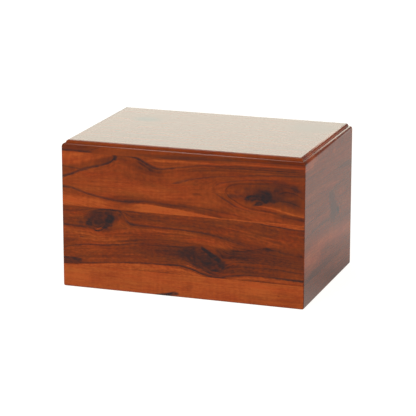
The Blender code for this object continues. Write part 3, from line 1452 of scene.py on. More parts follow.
@dataclass
class Studio:
    """A pale floor and soft lights.

    Attributes:
        floor_size: Side of the floor.
        floor_white: Colour of the floor.
        floor_glow: How far the floor is lit evenly from everywhere.
        mirrored_glow: The same for the sheet that stands for the floor in the lacquer.
        shadow_centre: Middle of the box's soft shadow on that sheet.
        shadow_reach: Half its length along X and along Y.
        shadow_level: Light that is left in its middle, of 1.
        behind: Light that is left behind the box, of 1.
        box_reach: Places along Y between which the light falls to that.
        sky: Strength of the even light all round.
        lights: Each light's name, place, width, height, power and colour.
        unmirrored: The light that the lacquer doesn't mirror.
        only_mirrored: The light that shows only in the lacquer.
        aim: What the lights look at.
    """

    floor_size: float = 14.0
    floor_white: float = 0.25
    floor_glow: Colour = (0.96, 0.94, 0.91)
    mirrored_glow: Colour = (1.28, 1.26, 1.19)
    shadow_centre: Place = (0.12, 0.03, 0.0)
    shadow_reach: Place = (0.11, 0.18, 1.0)
    shadow_level: float = 0.5
    behind: float = 0.8
    box_reach: tuple[float, float] = (-0.1, 0.15)
    sky: float = 0.32
    lights: tuple[tuple[str, Place, float, float, float, Colour], ...] = (
        ("key_softbox", (-1.3, -3.0, 1.35), 2.0, 1.6, 94.0, (1.0, 0.99, 0.97)),
        ("side_softbox", (2.8, -0.5, 0.8), 1.4, 1.4, 33.0, (1.0, 0.985, 0.96)),
        ("back_softbox", (-1.15, 2.7, 1.05), 3.1, 1.3, 36.6, (0.98, 1.0, 0.855)),
        ("top_softbox", (-0.8, 0.4, 2.4), 1.6, 0.8, 40.0, (1.0, 0.99, 0.97)),
    )
    unmirrored: str = "key_softbox"
    only_mirrored: str = "top_softbox"
    aim: Place = (0.0, 0.0, 0.07)

    def build(self) -> None:
        """Makes the floor, the lights and the world."""
        self.lay_floor()
        for name, place, width, height, power, colour in self.lights:
            self.hang_light(name, place, width, height, power, colour)
        world = bpy.data.worlds.new("studio")
        bpy.context.scene.world = world
        world.use_nodes = True
        background = world.node_tree.nodes["Background"]
        background.inputs["Color"].default_value = (1.0, 1.0, 1.0, 1.0)
        background.inputs["Strength"].default_value = self.sky
        bpy.context.scene.view_settings.view_transform = "Standard"
        LOG.info("studio: %d lights", len(self.lights))

    def lay_floor(self) -> None:
        """Makes the floor, and the sheet that stands for it in the lacquer."""
        floor, _, _ = self.lay_sheet("floor", self.floor_white, self.floor_glow)
        floor.visible_glossy = False
        mirrored, sheet, sockets = self.lay_sheet("mirrored_floor", 0.0, self.mirrored_glow)
        mirrored.visible_camera = False
        mirrored.visible_shadow = False
        here = sheet.node("ShaderNodeTexCoord").outputs["Object"]
        away = sheet.math("MINIMUM", sheet.oval(here, self.shadow_centre, self.shadow_reach), 1.0)
        light = away * (1.0 - self.shadow_level) + self.shadow_level
        behind = sheet.step(sheet.split(here)[1], *self.box_reach)
        sheet.feed(light * (1.0 - behind * (1.0 - self.behind)), sockets["Emission Strength"])
        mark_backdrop(floor, mirrored)

    def lay_sheet(
        self, name: str, white: float, glow: Colour
    ) -> tuple[bpy.types.Object, Sheet, bpy.types.NodeInputs]:
        """Makes a level sheet that lights nothing by diffuse light.

        Args:
            name: Its name.
            white: Its colour.
            glow: The light that it gives off.

        Returns:
            The sheet, its shader tree and its shader's sockets.
        """
        bm = bmesh.new()
        bmesh.ops.create_grid(bm, x_segments=1, y_segments=1, size=self.floor_size / 2)
        level = add_object(name, kept_mesh(bm, bpy.data.meshes.new(name)))
        level.visible_diffuse = False
        constants = {
            "Base Color": (white, white, white, 1.0),
            "Roughness": 1.0,
            "Specular IOR Level": 0.0,
            "Emission Color": (*glow, 1.0),
            "Emission Strength": 1.0,
        }
        material, sheet, sockets = new_material(f"{name}_paper", constants)
        level.data.materials.append(material)
        return level, sheet, sockets

    def hang_light(
        self, name: str, place: Place, width: float, height: float, power: float, colour: Colour
    ) -> None:
        """Hangs one soft light, which the camera doesn't see.

        Args:
            name: Its name.
            place: Where it hangs.
            width: Its width.
            height: Its height.
            power: Its power, in watts.
            colour: Its colour.
        """
        data = bpy.data.lights.new(name, "AREA")
        data.shape = "RECTANGLE"
        data.size = width
        data.size_y = height
        data.energy = power
        data.color = colour
        light = add_object(name, data)
        light.location = place
        away = Vector(place) - Vector(self.aim)
        light.rotation_euler = away.to_track_quat("Z", "Y").to_euler()
        light.visible_camera = False
        light.visible_glossy = name != self.unmirrored
        light.visible_diffuse = name != self.only_mirrored


@dataclass(frozen=True)
class PhotoCamera:
    """The camera at the photograph's viewing angle.

    Attributes:
        azimuth: Degrees round the box from its front, towards its right side.
        elevation: Degrees above the level.
        roll: Degrees of roll.
        distance: From the point that it is set out from, in metres.
        height: Height of that point.
        across: Shift of the camera to its right, in metres.
        upwards: Shift of the camera upwards, in metres.
        lens: Focal length, in millimetres.
        sensor: Width of the sensor, in millimetres.
    """

    azimuth: float = 18.9278
    elevation: float = 14.8167
    roll: float = 0.0472
    distance: float = 2.00876
    height: float = 0.070
    across: float = -0.001446
    upwards: float = -0.004214
    lens: float = 183.117
    sensor: float = 36.0

    def build(self) -> None:
        """Makes the camera."""
        a, e, roll = map(math.radians, (self.azimuth, self.elevation, self.roll))
        back = Vector((math.sin(a) * math.cos(e), -math.cos(a) * math.cos(e), math.sin(e)))
        level = Vector((math.cos(a), math.sin(a), 0.0))
        rise = back.cross(level)
        right = level * math.cos(roll) + rise * math.sin(roll)
        up = rise * math.cos(roll) - level * math.sin(roll)
        data = bpy.data.cameras.new("photo_camera")
        data.lens = self.lens
        data.sensor_width = self.sensor
        camera = add_object("photo_camera", data)
        middle = Vector((0.0, 0.0, self.height))
        eye = middle + back * self.distance + right * self.across + up * self.upwards
        turn = Matrix((right, up, back)).transposed().to_4x4()
        camera.matrix_world = Matrix.Translation(eye) @ turn
        bpy.context.scene.camera = camera
        LOG.info("camera: %.2f m away", self.distance)


def patches(ink: Ink, *rows: tuple[float, ...]) -> tuple[Blotch, ...]:
    """Patches of one ink.

    Args:
        ink: What they do to the colour.
        *rows: Each one's place along and down the face, half its length and height, its tilt and,
            where they aren't a Blotch's own, its strength and core.

    Returns:
        The patches.
    """
    return tuple(Blotch(ink, row[:2], row[2:4], *row[4:]) for row in rows)


GLOW, SHADE, SCORCH = Ink.GLOW, Ink.SHADE, Ink.SCORCH

TOP_FIGURE = Figure(
    seed=7.0, tone=0.665, contrast=0.8, specks=0.025, drift=4.0, open_pores=0.06,
    knots=(Knot((42, 110), (14, 9), push=7, rings=3, strength=0.5),),
    blotches=(
        *patches(GLOW, (231, 84, 4, 82, 0, 0.8, 0.5), (236, 24, 6, 20, 0, 0.9, 0.5)),
        *patches(SHADE, (117, 84, 500, 78, 0, 0.2, 0.9), (60, 40, 60, 9, 0, 0.4),
            (205, 125, 40, 30, 0, 0.6)),
        *patches(SCORCH, (44, 110, 20, 13, 0, 0.95), (46, 107, 4, 4, 0, 1.0, 0.5),
            (35, 53, 4, 3, 0, 0.95)),
    ),
    edge_streaks=(
        Streak(SHADE, 3.4, 0.75, ((0, 7), (20, 7), (28, 7, 1, 0.6), (38, 6, 1, 0)), core=0.5),
        Streak(SCORCH, 1.2, 0.6, ((0, 9), (12, 9), (20, 9.2, 1, 1.2), (27, 9.2, 0.9, 1.1),
            (31, 9, 0.6, 0))),
        Streak(SCORCH, 0.8, 0.45, ((22, 9, 0.8, 0), (28, 7.4), (35, 5.2), (40, 4, 1, 0))),
        Streak(SHADE, 2.2, 0.55, ((72, 8, 0.6, 0), (90, 8.4, 0.8), (105, 8.6), (125, 8), (150, 6.8),
            (170, 5.8), (233, 5.1)), core=0.35),
        Streak(SCORCH, 0.8, 0.3, ((88, 9.2, 0.8, 0), (105, 9.3), (125, 8.6), (150, 7.4, 1, 0.7),
            (190, 6.4, 1, 0.8), (233, 5.6))),
        Streak(GLOW, 0.8, 0.7, ((155, 9.9, 0.6, 0), (180, 9.5), (205, 9.3), (233, 9)), core=0.4),
    ),
)

FRONT_UPPER = Figure(
    seed=1.0, tone=0.69, contrast=0.75, drift=0.9,
    guides=(
        (6, ((0, 2), (45, 0), (60, 1), (75, 4), (90, 8), (100, 9), (120, 6), (150, 3), (233, 0))),
        (12, ((0, 30.5), (10, 27.6), (20, 23.2), (30, 20), (40, 17.2), (47, 14.4), (54, 8), (60, 6.6),
            (73, 7.6), (84, 12.6), (97, 16.2), (115, 13.6), (140, 9.8), (175, 8.3), (233, 7.1))),
        (20, ((0, 34), (30, 28), (60, 27), (85, 30), (105, 29), (116, 27), (126, 24.2), (146, 20),
            (180, 16.2), (233, 12.6))),
        (27, ((0, 35.4), (40, 34), (80, 34), (120, 33), (144, 31.8), (149.5, 28), (153, 25.6),
            (160, 23.6), (182, 20), (206, 18.6), (233, 16.5))),
        (33, ((0, 36), (40, 36), (80, 35), (120, 34), (150, 32.2), (159, 30.8), (162.5, 27.6),
            (169, 25), (180, 23.4), (207, 24), (233, 27))),
        (38, ((0, 36.6), (40, 39), (80, 37), (120, 35), (150, 32.8), (159, 32.4), (163, 36.4),
            (168.5, 39.8), (174.5, 43.4), (190, 44), (210, 45), (233, 47))),
        (43, ((0, 37.5), (40, 43), (80, 41), (120, 37), (144, 33), (150.5, 35), (156, 38),
            (163, 41.6), (169, 45), (185, 49), (210, 51), (233, 54))),
        (50, ((0, 40.3), (20, 44), (40, 48), (58, 50), (80, 48.6), (95, 50), (120, 53.4), (140, 56),
            (175, 60), (233, 64))),
    ),
    streaks=(
        Streak(SHADE, 13, 0.26, ((112, 17, 0.5, 0), (150, 18), (190, 15), (233, 17)), core=0.5),
        Streak(SHADE, 4, 0.35, ((0, 25, 1, 0.7), (20, 20), (35, 15.5), (48, 10.5), (58, 8, 1, 0.4))),
        Streak(SCORCH, 1.6, 0.78, ((0, 31, 1.5, 0.9), (10, 27.6), (20, 23.2), (30, 20), (40, 17.2),
            (47, 14.4), (51, 11.6), (53.2, 8.6, 1.1), (55.5, 6, 1, 0)), above=1.5),
        Streak(SCORCH, 0.9, 0.4, ((0, 20.5), (14, 22), (22, 22.6), (28, 22.4, 1, 0))),
        Streak(SCORCH, 1.6, 0.8, ((60, 6.6, 0.5, 0), (66, 7, 0.7, 0.6), (73, 7.6, 1.1),
            (78, 9.4, 1.3), (84, 12.6, 1.3), (90, 15.2, 1.2), (97, 16.2, 0.9, 0.8),
            (105, 15.4, 0.7, 0.7), (115, 13.6, 0.7, 0.6), (125, 11.8, 0.7, 0.5),
            (140, 9.8, 0.7, 0.45), (155, 9.2, 0.6, 0.4), (175, 8.3, 0.6, 0.45), (200, 7.5, 0.7, 0.5),
            (233, 7.1, 0.7, 0.5))),
        Streak(SHADE, 1.9, 0.65, ((73, 9.5, 0.6, 0), (80, 13.4), (86, 17), (92, 19),
            (100, 19.5, 0.8, 0.5), (112, 18, 0.6, 0))),
        Streak(SCORCH, 1.3, 0.62, ((0, 40.3, 1.1, 1.4), (10, 41.2, 1, 1.2), (20, 44), (30, 46.2),
            (40, 48), (50, 49.6), (58, 50), (66, 49.9, 1.6, 1.15), (74, 49.3, 1.5, 1.1),
            (82, 48.4, 1.1, 0.8), (92, 48.5, 0.8, 0.5), (110, 49.5, 0.7, 0.4),
            (140, 50.5, 0.7, 0)), above=1.6),
        Streak(SHADE, 4.5, 0.7, ((34, 50, 0.6, 0), (50, 48.6, 0.8, 0.8), (65, 48), (78, 47.6),
            (95, 48, 0.9, 0.6), (120, 49, 0.8, 0.6), (150, 52, 0.8, 0.7), (165, 53, 0.6, 0))),
        Streak(GLOW, 5, 0.8, ((0, 53.5), (30, 54, 1, 0.85), (48, 55, 0.8, 0.5), (60, 56, 0.6, 0.2),
            (72, 56, 0.5, 0)), core=0.5),
        Streak(GLOW, 4, 0.95, ((58, 55.6, 0.5, 0), (70, 55, 0.8, 0.35), (82, 54.6, 1.05, 0.9),
            (95, 55, 0.95), (110, 55.6, 0.8), (125, 56.4, 0.6), (140, 57.4, 0.4), (150, 58, 0.25),
            (153, 58.2, 0.15)), above=1.0, core=0.85),
        Streak(SHADE, 2.2, 0.6, ((90, 50.2, 0.6, 0), (105, 50.3), (120, 51.2), (135, 53.2),
            (148, 55.4), (160, 57, 0.7, 0.6), (175, 57.5, 0.5, 0)), core=0.4),
        Streak(SHADE, 0.9, 0.5, ((110, 47.5, 1, 0), (130, 49), (150, 51.5), (170, 54, 1, 0.6),
            (185, 56, 1, 0))),
        Streak(GLOW, 1.5, 0.8, ((84, 9.6, 0.6, 0), (94, 8.9), (120, 8.3), (145, 8, 0.8),
            (165, 7.3, 0.6, 0.8), (180, 6.6, 0.5, 0.5), (233, 6.4, 0.4, 0.45)), core=0.5),
        Streak(SHADE, 0.9, 0.7, ((150, 10.8, 1, 0), (170, 10.2), (200, 9.6), (233, 9.2))),
        Streak(SHADE, 0.8, 0.6, ((118, 17.5, 1, 0), (140, 14.5), (165, 12.8), (200, 11.6),
            (233, 10.8))),
        Streak(SCORCH, 1.1, 0.5, ((108, 29, 0.6, 0), (116, 27, 1.3, 1.1), (126, 24.2, 1.1),
            (136, 21.8), (146, 20), (160, 18.4, 0.8, 0.7), (180, 16.2, 0.9, 0.9), (200, 14.6),
            (215, 13.4), (233, 12.6, 1.2))),
        Streak(SCORCH, 1.0, 0.4, ((149, 28.6, 0.9, 0), (151, 26.8, 0.9, 0.6), (153, 25.6),
            (160, 23.6), (170, 21.6), (182, 20, 0.9, 0.8), (195, 19, 1.1, 1.3), (206, 18.6, 1.1, 1.2),
            (215, 18, 1, 0.3), (233, 16.5, 1, 0.4))),
        Streak(SCORCH, 1.2, 0.45, ((149, 34, 0.9, 0), (151.5, 35.6, 1, 0.7), (156, 38),
            (163, 41.6, 1.1, 1.1), (169, 45, 1.1, 1.1), (175, 47, 0.9, 0.6), (190, 50, 0.8, 0.3),
            (210, 53, 0.8, 0))),
        Streak(GLOW, 1.4, 0.16, ((152, 30.5, 0.7, 0), (155, 27.2), (162, 25), (172, 23.4),
            (188, 21.4, 0.9, 0.6), (200, 20.6, 0.7, 0))),
        Streak(GLOW, 1.3, 0.26, ((153, 32, 0.7, 0), (156.5, 35.2), (163, 38.4), (170, 42.6),
            (176, 45.2), (186, 46.8, 0.8, 0.6), (195, 47.5, 0.7, 0))),
        Streak(SHADE, 1.2, 0.65, ((160, 31, 0.7, 0), (162.5, 27.6), (169, 25), (180, 23.4),
            (195, 22.4, 0.9, 0.6), (207, 22, 0.8, 0))),
        Streak(SHADE, 1.2, 0.75, ((160.5, 32.5, 0.7, 0), (163, 36.4), (168.5, 39.8), (174.5, 43.4),
            (183, 46, 1, 0.8), (200, 47.6, 1.2, 1), (215, 50.4, 1.6, 1.1), (233, 53, 2, 1.3))),
        Streak(GLOW, 1.0, 0.7, ((190, 43.4, 0.6, 0), (200, 44), (210, 45.6), (221, 48, 1.1),
            (233, 50))),
        Streak(SCORCH, 2.2, 0.55, ((161, 35.6, 0.6, 0), (167, 36, 1.2), (173, 36, 1.2, 0.9),
            (180, 36.2, 1.2, 0.8), (188, 37, 1, 0))),
        Streak(SHADE, 0.9, 0.5, ((205, 39, 1, 0), (214, 37, 1), (224, 38.5), (233, 42))),
        Streak(SHADE, 0.9, 0.5, ((210, 31, 1, 0), (218, 28.5, 1), (226, 29.5), (233, 33))),
    ),
    blotches=(
        *patches(GLOW, (96, 39, 44, 8, 0, 0.3), (134, 48, 18, 3.5, 3, 0.3), (14, 12, 30, 9, 0, 0.5),
            (48, 36, 58, 11, 0, 0.36), (12, 53, 18, 4, 0, 0.3), (140, 43, 28, 5, 4, 0.3),
            (190, 54, 42, 4, 2, 0.3), (223, 33.5, 5.5, 2.4, 0, 0.45)),
        *patches(SHADE, (62, 14.5, 46, 8, 0, 0.28), (220, 53, 24, 4, 3, 0.4),
            (222, 13, 22, 7, 0, 0.25), (48, 10.5, 14, 5, -15, 0.3), (61, 10, 5, 5, 60, 0.45),
            (84, 18, 22, 7, 12, 0.4), (80, 23, 34, 15, 0, 0.25), (60, 53.5, 12, 4, -10, 0.3),
            (149, 31.4, 2.4, 6, 0, 0.4), (160.6, 31.6, 2.2, 5, 0, 0.35), (133, 37.5, 7, 1.6, 4, 0.6),
            (170, 27, 12, 7, 0, 0.35), (206, 31, 42, 16, -4, 1.0), (163, 40, 16, 7, 10, 0.3),
            (228, 37, 14, 10, 0, 0.4)),
        *patches(SCORCH, (53.6, 9, 3.2, 3.6, -25, 0.9, 0.3), (60, 52, 2.4, 3.2, -30, 0.2),
            (168.5, 53, 4, 1, 0, 0.4), (196, 34, 30, 11.5, 0, 0.6, 0.1),
            (186, 36, 11, 4.4, -8, 0.97, 0.4), (192, 35, 7, 4.6, 0, 0.85, 0.4),
            (198.5, 34, 9.6, 8, -25, 0.98, 0.45), (196, 29.6, 6, 3.4, -20, 0.7),
            (204, 37.4, 8.4, 4, 0, 0.85), (191.5, 41, 7, 3.4, -14, 0.9, 0.35),
            (171, 31, 5, 3.4, 0, 0.3), (181, 29, 6, 4, -10, 0.35), (225.5, 24.6, 8, 4.2, 15, 0.72),
            (208.5, 27.4, 5.5, 3, 0, 0.6), (222, 38.5, 14, 6.5, 8, 0.4), (214, 21.5, 14, 4, 6, 0.35),
            (211, 35, 5, 4, 0, 0.4), (208, 19.4, 5, 1.6, 0, 0.5)),
    ),
)

FRONT_LOWER = Figure(
    seed=2.0, tone=0.53, contrast=1.1, drift=0.7,
    guides=(
        (58, ((0, 58), (40, 56.5), (60, 57), (120, 57.5), (190, 59), (233, 62))),
        (72, ((0, 68), (15, 68), (25, 65), (34, 60.4), (45, 58.9), (55, 59.4), (61, 64), (68, 70.9),
            (90, 71.8), (120, 72.2), (145, 74.2), (170, 79), (200, 84), (233, 87))),
        (77, ((0, 77), (15, 77.2), (27, 78), (35, 81), (45, 79), (60, 76.5), (100, 77), (128, 76.5),
            (150, 79), (168, 86.5), (200, 88), (233, 90))),
        (90, ((0, 99.5), (20, 94.6), (40, 93.2), (62, 90.8), (80, 88.7), (118, 88), (130, 86),
            (140, 84), (152, 87), (162, 92), (185, 91), (233, 94))),
        (98, ((0, 104), (30, 101), (60, 98), (100, 97), (118, 97), (130, 102), (142, 107.6),
            (152, 108.6), (162, 102), (178, 99), (233, 99.5))),
        (106, ((0, 113.5), (24, 112), (52, 109.2), (84, 107.2), (114, 106.4), (124, 107.8),
            (133, 110.2), (141, 112.6), (152, 114), (162, 112.2), (182, 109.4), (200, 108.8),
            (233, 110))),
    ),
    knots=(
        Knot((37, 69), (15, 8), push=4, rings=2.5, strength=0.35),
        Knot((142, 98), (16, 9), push=4, rings=3, strength=0.35),
    ),
    streaks=(
        Streak(GLOW, 1, 0.95, ((170, 58.2, 0.4, 0), (186, 58.4, 0.7), (200, 58.9, 1.1),
            (216, 59.6, 1.6), (233, 60.2, 2)), above=1.5, core=0.7),
        Streak(SCORCH, 0.8, 0.5, ((60, 59.4, 0.6, 0), (68, 59.2, 1.1), (78, 60, 1, 0.9),
            (90, 60.4, 0.7, 0.5), (105, 60, 0.6, 0.3), (120, 59.4, 0.6, 0.4), (150, 59, 0.6, 0.3),
            (175, 59, 0.6, 0.6), (190, 59.4, 0.8, 0.9), (205, 61, 1, 1.1), (220, 61.8, 1, 1.1),
            (233, 62.8, 1.2, 1.3))),
        Streak(SHADE, 8, 0.1, ((0, 66), (15, 66), (25, 66, 1, 0.6), (34, 66, 1, 0)), core=0.4),
        Streak(SHADE, 5, 0.2, ((62, 64, 1, 0), (75, 65), (120, 66), (150, 66, 1, 0.7),
            (180, 64, 0.8, 0.4), (205, 64, 0.8, 0.9), (233, 65.5, 0.8, 1.3)), core=0.4),
        Streak(SCORCH, 1.2, 0.85, ((22, 66, 0.7, 0), (28, 62.4, 0.8, 0.5), (34, 60.4, 0.9, 0.7),
            (40, 59.4, 1.2), (48, 59, 1.3, 1.1), (55, 59.2, 1.2), (58.5, 61, 1.5, 0.9),
            (61, 64.5, 1.6, 0.6), (64, 68.6, 1.5, 0.7), (68, 70.9, 1.3), (76, 71.6, 1.1, 0.9),
            (90, 71.8, 0.9, 0.7), (110, 72, 0.8, 0.6), (130, 72.6, 0.8, 0.6), (145, 74.2, 0.9, 0.6),
            (158, 76.6, 1, 0.55), (170, 79.4, 1.2, 0.45), (180, 81.6, 1.4, 0.3),
            (192, 83, 1.4, 0)), above=1.6),
        Streak(SCORCH, 0.8, 0.95, ((31, 79.6, 0.6, 0), (35, 80.4), (38.5, 79.6), (41.5, 77.6),
            (44, 75.4, 0.7, 0)), core=0.4),
        Streak(SCORCH, 0.7, 0.8, ((34, 77.8, 0.6, 0), (38, 76), (41, 73.8),
            (43.8, 71, 0.7, 0)), core=0.3),
        Streak(GLOW, 0.65, 0.85, ((33.5, 79, 0.6, 0), (37, 78), (40, 76),
            (43, 73.2, 0.7, 0)), core=0.4),
        Streak(SCORCH, 0.9, 0.5, ((0, 76.8, 0.8, 0.4), (8, 77.2), (18, 77.4, 1.2), (27, 77.8, 1.2),
            (34, 79, 1, 0)), above=2.2),
        Streak(GLOW, 6, 0.85, ((0, 84.5), (20, 85), (40, 86, 0.85), (60, 83, 0.95, 0.8),
            (80, 80, 0.9, 0.55), (110, 79.5, 0.9, 0.5), (135, 80, 0.8, 0.65), (150, 82, 0.75, 0.7),
            (160, 84.6, 0.6, 0.6), (168, 86, 0.4, 0)), core=0.5),
        Streak(SHADE, 0.8, 0.45, ((56, 82, 1, 0), (75, 78.5), (100, 77.5), (120, 77),
            (140, 78.5, 1, 0))),
        Streak(SHADE, 0.8, 0.45, ((62, 87, 1, 0), (80, 84.5), (100, 83.4), (120, 83.5),
            (136, 84, 1, 0))),
        Streak(GLOW, 0.9, 0.6, ((155, 66, 0.6, 0), (170, 67.4), (185, 69.6), (200, 72.2),
            (215, 74, 1, 0.9), (233, 75.4, 1, 0.7))),
        Streak(GLOW, 0.8, 0.55, ((162, 70, 0.6, 0), (178, 71.6), (195, 74.8), (210, 78, 1, 0.6),
            (222, 80, 1, 0))),
        Streak(SCORCH, 0.8, 0.6, ((0, 99.5, 0.8, 0.4), (10, 96.4, 0.9, 0.6), (20, 94.6), (40, 93.2),
            (52, 92.2), (62, 90.8, 1, 0.9), (70, 89.4, 1, 0.6), (80, 88.7, 1, 0.5),
            (100, 88.4, 1, 0.4), (118, 88.2, 1, 0.7), (128, 87.2, 1.2, 0.8),
            (136, 87, 1, 0)), below=1.8),
        Streak(SHADE, 6.5, 0.12, ((0, 103, 0.8), (30, 101), (60, 99, 1, 1.2),
            (75, 98, 1, 0)), core=0.6),
        Streak(SHADE, 7.5, 0.7, ((55, 97, 0.9, 0), (68, 96.4, 0.95, 0.15), (85, 95.8, 1, 0.6),
            (105, 95.6, 1, 0.85), (125, 96), (138, 97, 1, 0.5), (148, 98, 1, 0)), core=0.65),
        Streak(SHADE, 8, 0.62, ((150, 91, 0.5, 0), (165, 91, 1, 1.2), (180, 91.5, 1.1),
            (200, 92.5, 1.25, 0.9), (233, 94.5, 1.4, 0.6)), core=0.3),
        Streak(SCORCH, 6.2, 0.62, ((84, 94.5, 0.8, 0), (104, 94.6, 1, 0.45), (113, 94.8, 1, 0.8),
            (121, 95, 1.1, 1.15), (128, 96, 0.9, 0.9), (135, 97, 0.8, 0)), core=0.15),
        Streak(SCORCH, 2.0, 0.25, ((158, 93, 0.6, 0), (175, 89), (190, 86.6), (203, 84, 1, 1.2),
            (212, 83.4, 1, 0))),
        Streak(SCORCH, 0.8, 0.32, ((158, 99, 1, 0), (172, 97.6), (190, 97), (215, 97.6), (233, 98.6))),
        Streak(SCORCH, 0.7, 0.3, ((158, 104, 1, 0), (168, 101.6), (190, 101), (215, 102), (233, 103))),
        Streak(GLOW, 0.8, 0.4, ((158, 107, 1, 0), (166, 104.4), (180, 103.6), (205, 104.6),
            (233, 105.6, 1, 0.5))),
        Streak(SHADE, 0.8, 0.6, ((163, 88, 1, 0), (180, 86.4), (196, 83), (210, 81, 1, 0))),
        Streak(SCORCH, 1.0, 0.6, ((15, 112.9, 0.6, 0), (24, 112, 0.8, 0.7), (38, 110.6, 0.9, 0.8),
            (52, 109.2, 0.9, 0.7), (66, 108.2), (84, 107.2, 1, 0.9), (100, 106.6, 1.1, 1.1),
            (114, 106.4, 1.2, 1.3), (124, 107.8, 1.2, 1.35), (133, 110.2, 1.2, 1.4),
            (141, 112.6, 1.2, 1.4), (148, 113.9, 1.1, 1.3), (155, 114, 1.1, 1.2),
            (162, 112.2, 1, 1.2), (170, 110.6, 1, 1.2), (182, 109.4, 0.9, 0.9),
            (200, 108.8, 0.9, 0.9), (214, 109.6, 1.2, 1.3), (233, 110, 1.5, 1.4))),
        Streak(SCORCH, 1.7, 0.85, ((0, 109.2), (12, 109.2), (16.5, 109.4), (18.2, 109.5, 1, 0.9),
            (19, 109.6, 0.8, 0)), above=1.0, core=0.55),
        Streak(SCORCH, 2.0, 0.5, ((0, 112.6, 1.1), (12, 112.4), (20, 112.2, 0.7, 0.7),
            (27, 111.8, 0.5, 0)), core=0.5),
        Streak(GLOW, 2.4, 0.95, ((14, 114.6, 0.3, 0), (25, 114.2, 0.5), (50, 112.4, 1),
            (80, 111.2, 1.4), (110, 110.9, 1.5), (124, 112.3, 1.1), (136, 114.2, 0.5),
            (143, 115, 0.2, 0)), above=1.0, core=0.8),
        Streak(GLOW, 2.0, 0.45, ((164, 113.6, 0.4, 0), (180, 112.4), (200, 111.9),
            (233, 112.6)), core=0.4),
        Streak(SCORCH, 1.8, 0.75, ((119, 95, 1.2, 0), (124, 98.6, 1.2, 0.8), (130, 102.8, 1.1),
            (137, 106.6), (143, 109.4, 0.9), (150, 111.4, 0.8, 0.8), (158, 111, 0.6, 0)), core=0.25),
        Streak(SCORCH, 0.7, 0.6, ((116, 103.6, 1, 0), (126, 105.2), (134, 108.2), (142, 111.2),
            (150, 112.6), (158, 112, 1, 0.7), (168, 109.6, 1, 0))),
        Streak(GLOW, 0.6, 0.7, ((120, 104.6, 1, 0), (130, 107.2), (140, 110.4), (147, 112.2),
            (153, 112.6, 1, 0))),
        Streak(SCORCH, 3.0, 1.0, ((136, 87, 0.6, 0), (139.5, 88.8, 0.8), (144, 91.8, 1),
            (148.5, 95, 1.3), (153, 97.4, 1.3), (157, 99.6, 1, 0.7), (161, 101.6, 0.8, 0)), core=0.4),
    ),
    blotches=(
        *patches(GLOW, (9, 65, 19, 7, 0, 0.5), (32, 91, 52, 6, -2, 0.35), (26, 98, 44, 5, -3, 0.4),
            (59, 71, 4.4, 4.6, 0, 0.4), (146, 80.4, 8, 1.5, 4, 0.5), (158, 84, 8, 2.2, 16, 0.4),
            (134.4, 91, 3, 3.6, 0, 0.8), (147, 102.8, 2.4, 2, 0, 0.6), (153, 103, 2.6, 2.4, 0, 0.7),
            (141.6, 93, 1.8, 1.5, 0, 0.7)),
        *patches(SHADE, (10, 73, 17, 5, 0, 0.25), (40, 69, 20, 12, 0, 0.55, 0.3),
            (128, 87.5, 8, 2.2, -8, 0.6), (201, 83.6, 9, 3.2, 0, 0.5), (112, 103.4, 22, 3.4, 0, 0.4),
            (178, 105, 66, 7, 1, 0.75), (150, 76, 34, 5, 4, 0.25), (46, 81, 14, 5, 0, 0.2),
            (168, 94, 26, 9, 2, 0.3)),
        *patches(SCORCH, (38, 68.5, 17.5, 11.5, 0, 0.6, 0.35), (32, 62.4, 6, 2.6, -10, 0.7),
            (46.5, 61.6, 9, 2.6, 4, 0.75), (36.4, 74, 5, 2.6, -20, 0.7), (55, 66, 3.4, 5, 0, 0.45),
            (19, 73.6, 6, 4.6, 0, 0.4), (27, 72.4, 5.8, 6.8, 15, 0.9, 0.3),
            (48.2, 68, 6.8, 8.4, 18, 0.98, 0.4), (44, 74.8, 7, 4.6, -40, 0.92, 0.3),
            (31, 66, 3.6, 2.6, 0, 0.65), (42, 63.4, 5, 2.6, -15, 0.65), (35.6, 64.4, 2.8, 3, 0, 0.6),
            (39.4, 70.6, 3.4, 2.4, -40, 0.7), (58.5, 62.5, 3, 4, 0, 0.5),
            (19.4, 86.8, 3.2, 1, 0, 0.7), (142, 98.5, 23, 13, 15, 0.8),
            (134, 104.6, 15, 4.4, 22, 0.75), (127, 102, 9, 4, 25, 0.5), (142, 104, 5, 3, 30, 0.6),
            (145, 98.5, 11, 8, 25, 0.8), (150, 107.4, 8, 3.4, 0, 0.92),
            (157.5, 101.6, 4.4, 6.4, 25, 0.85), (122.5, 93.5, 7, 8, 0, 0.72),
            (129, 91.5, 4, 6, 20, 0.62)),
    ),
)

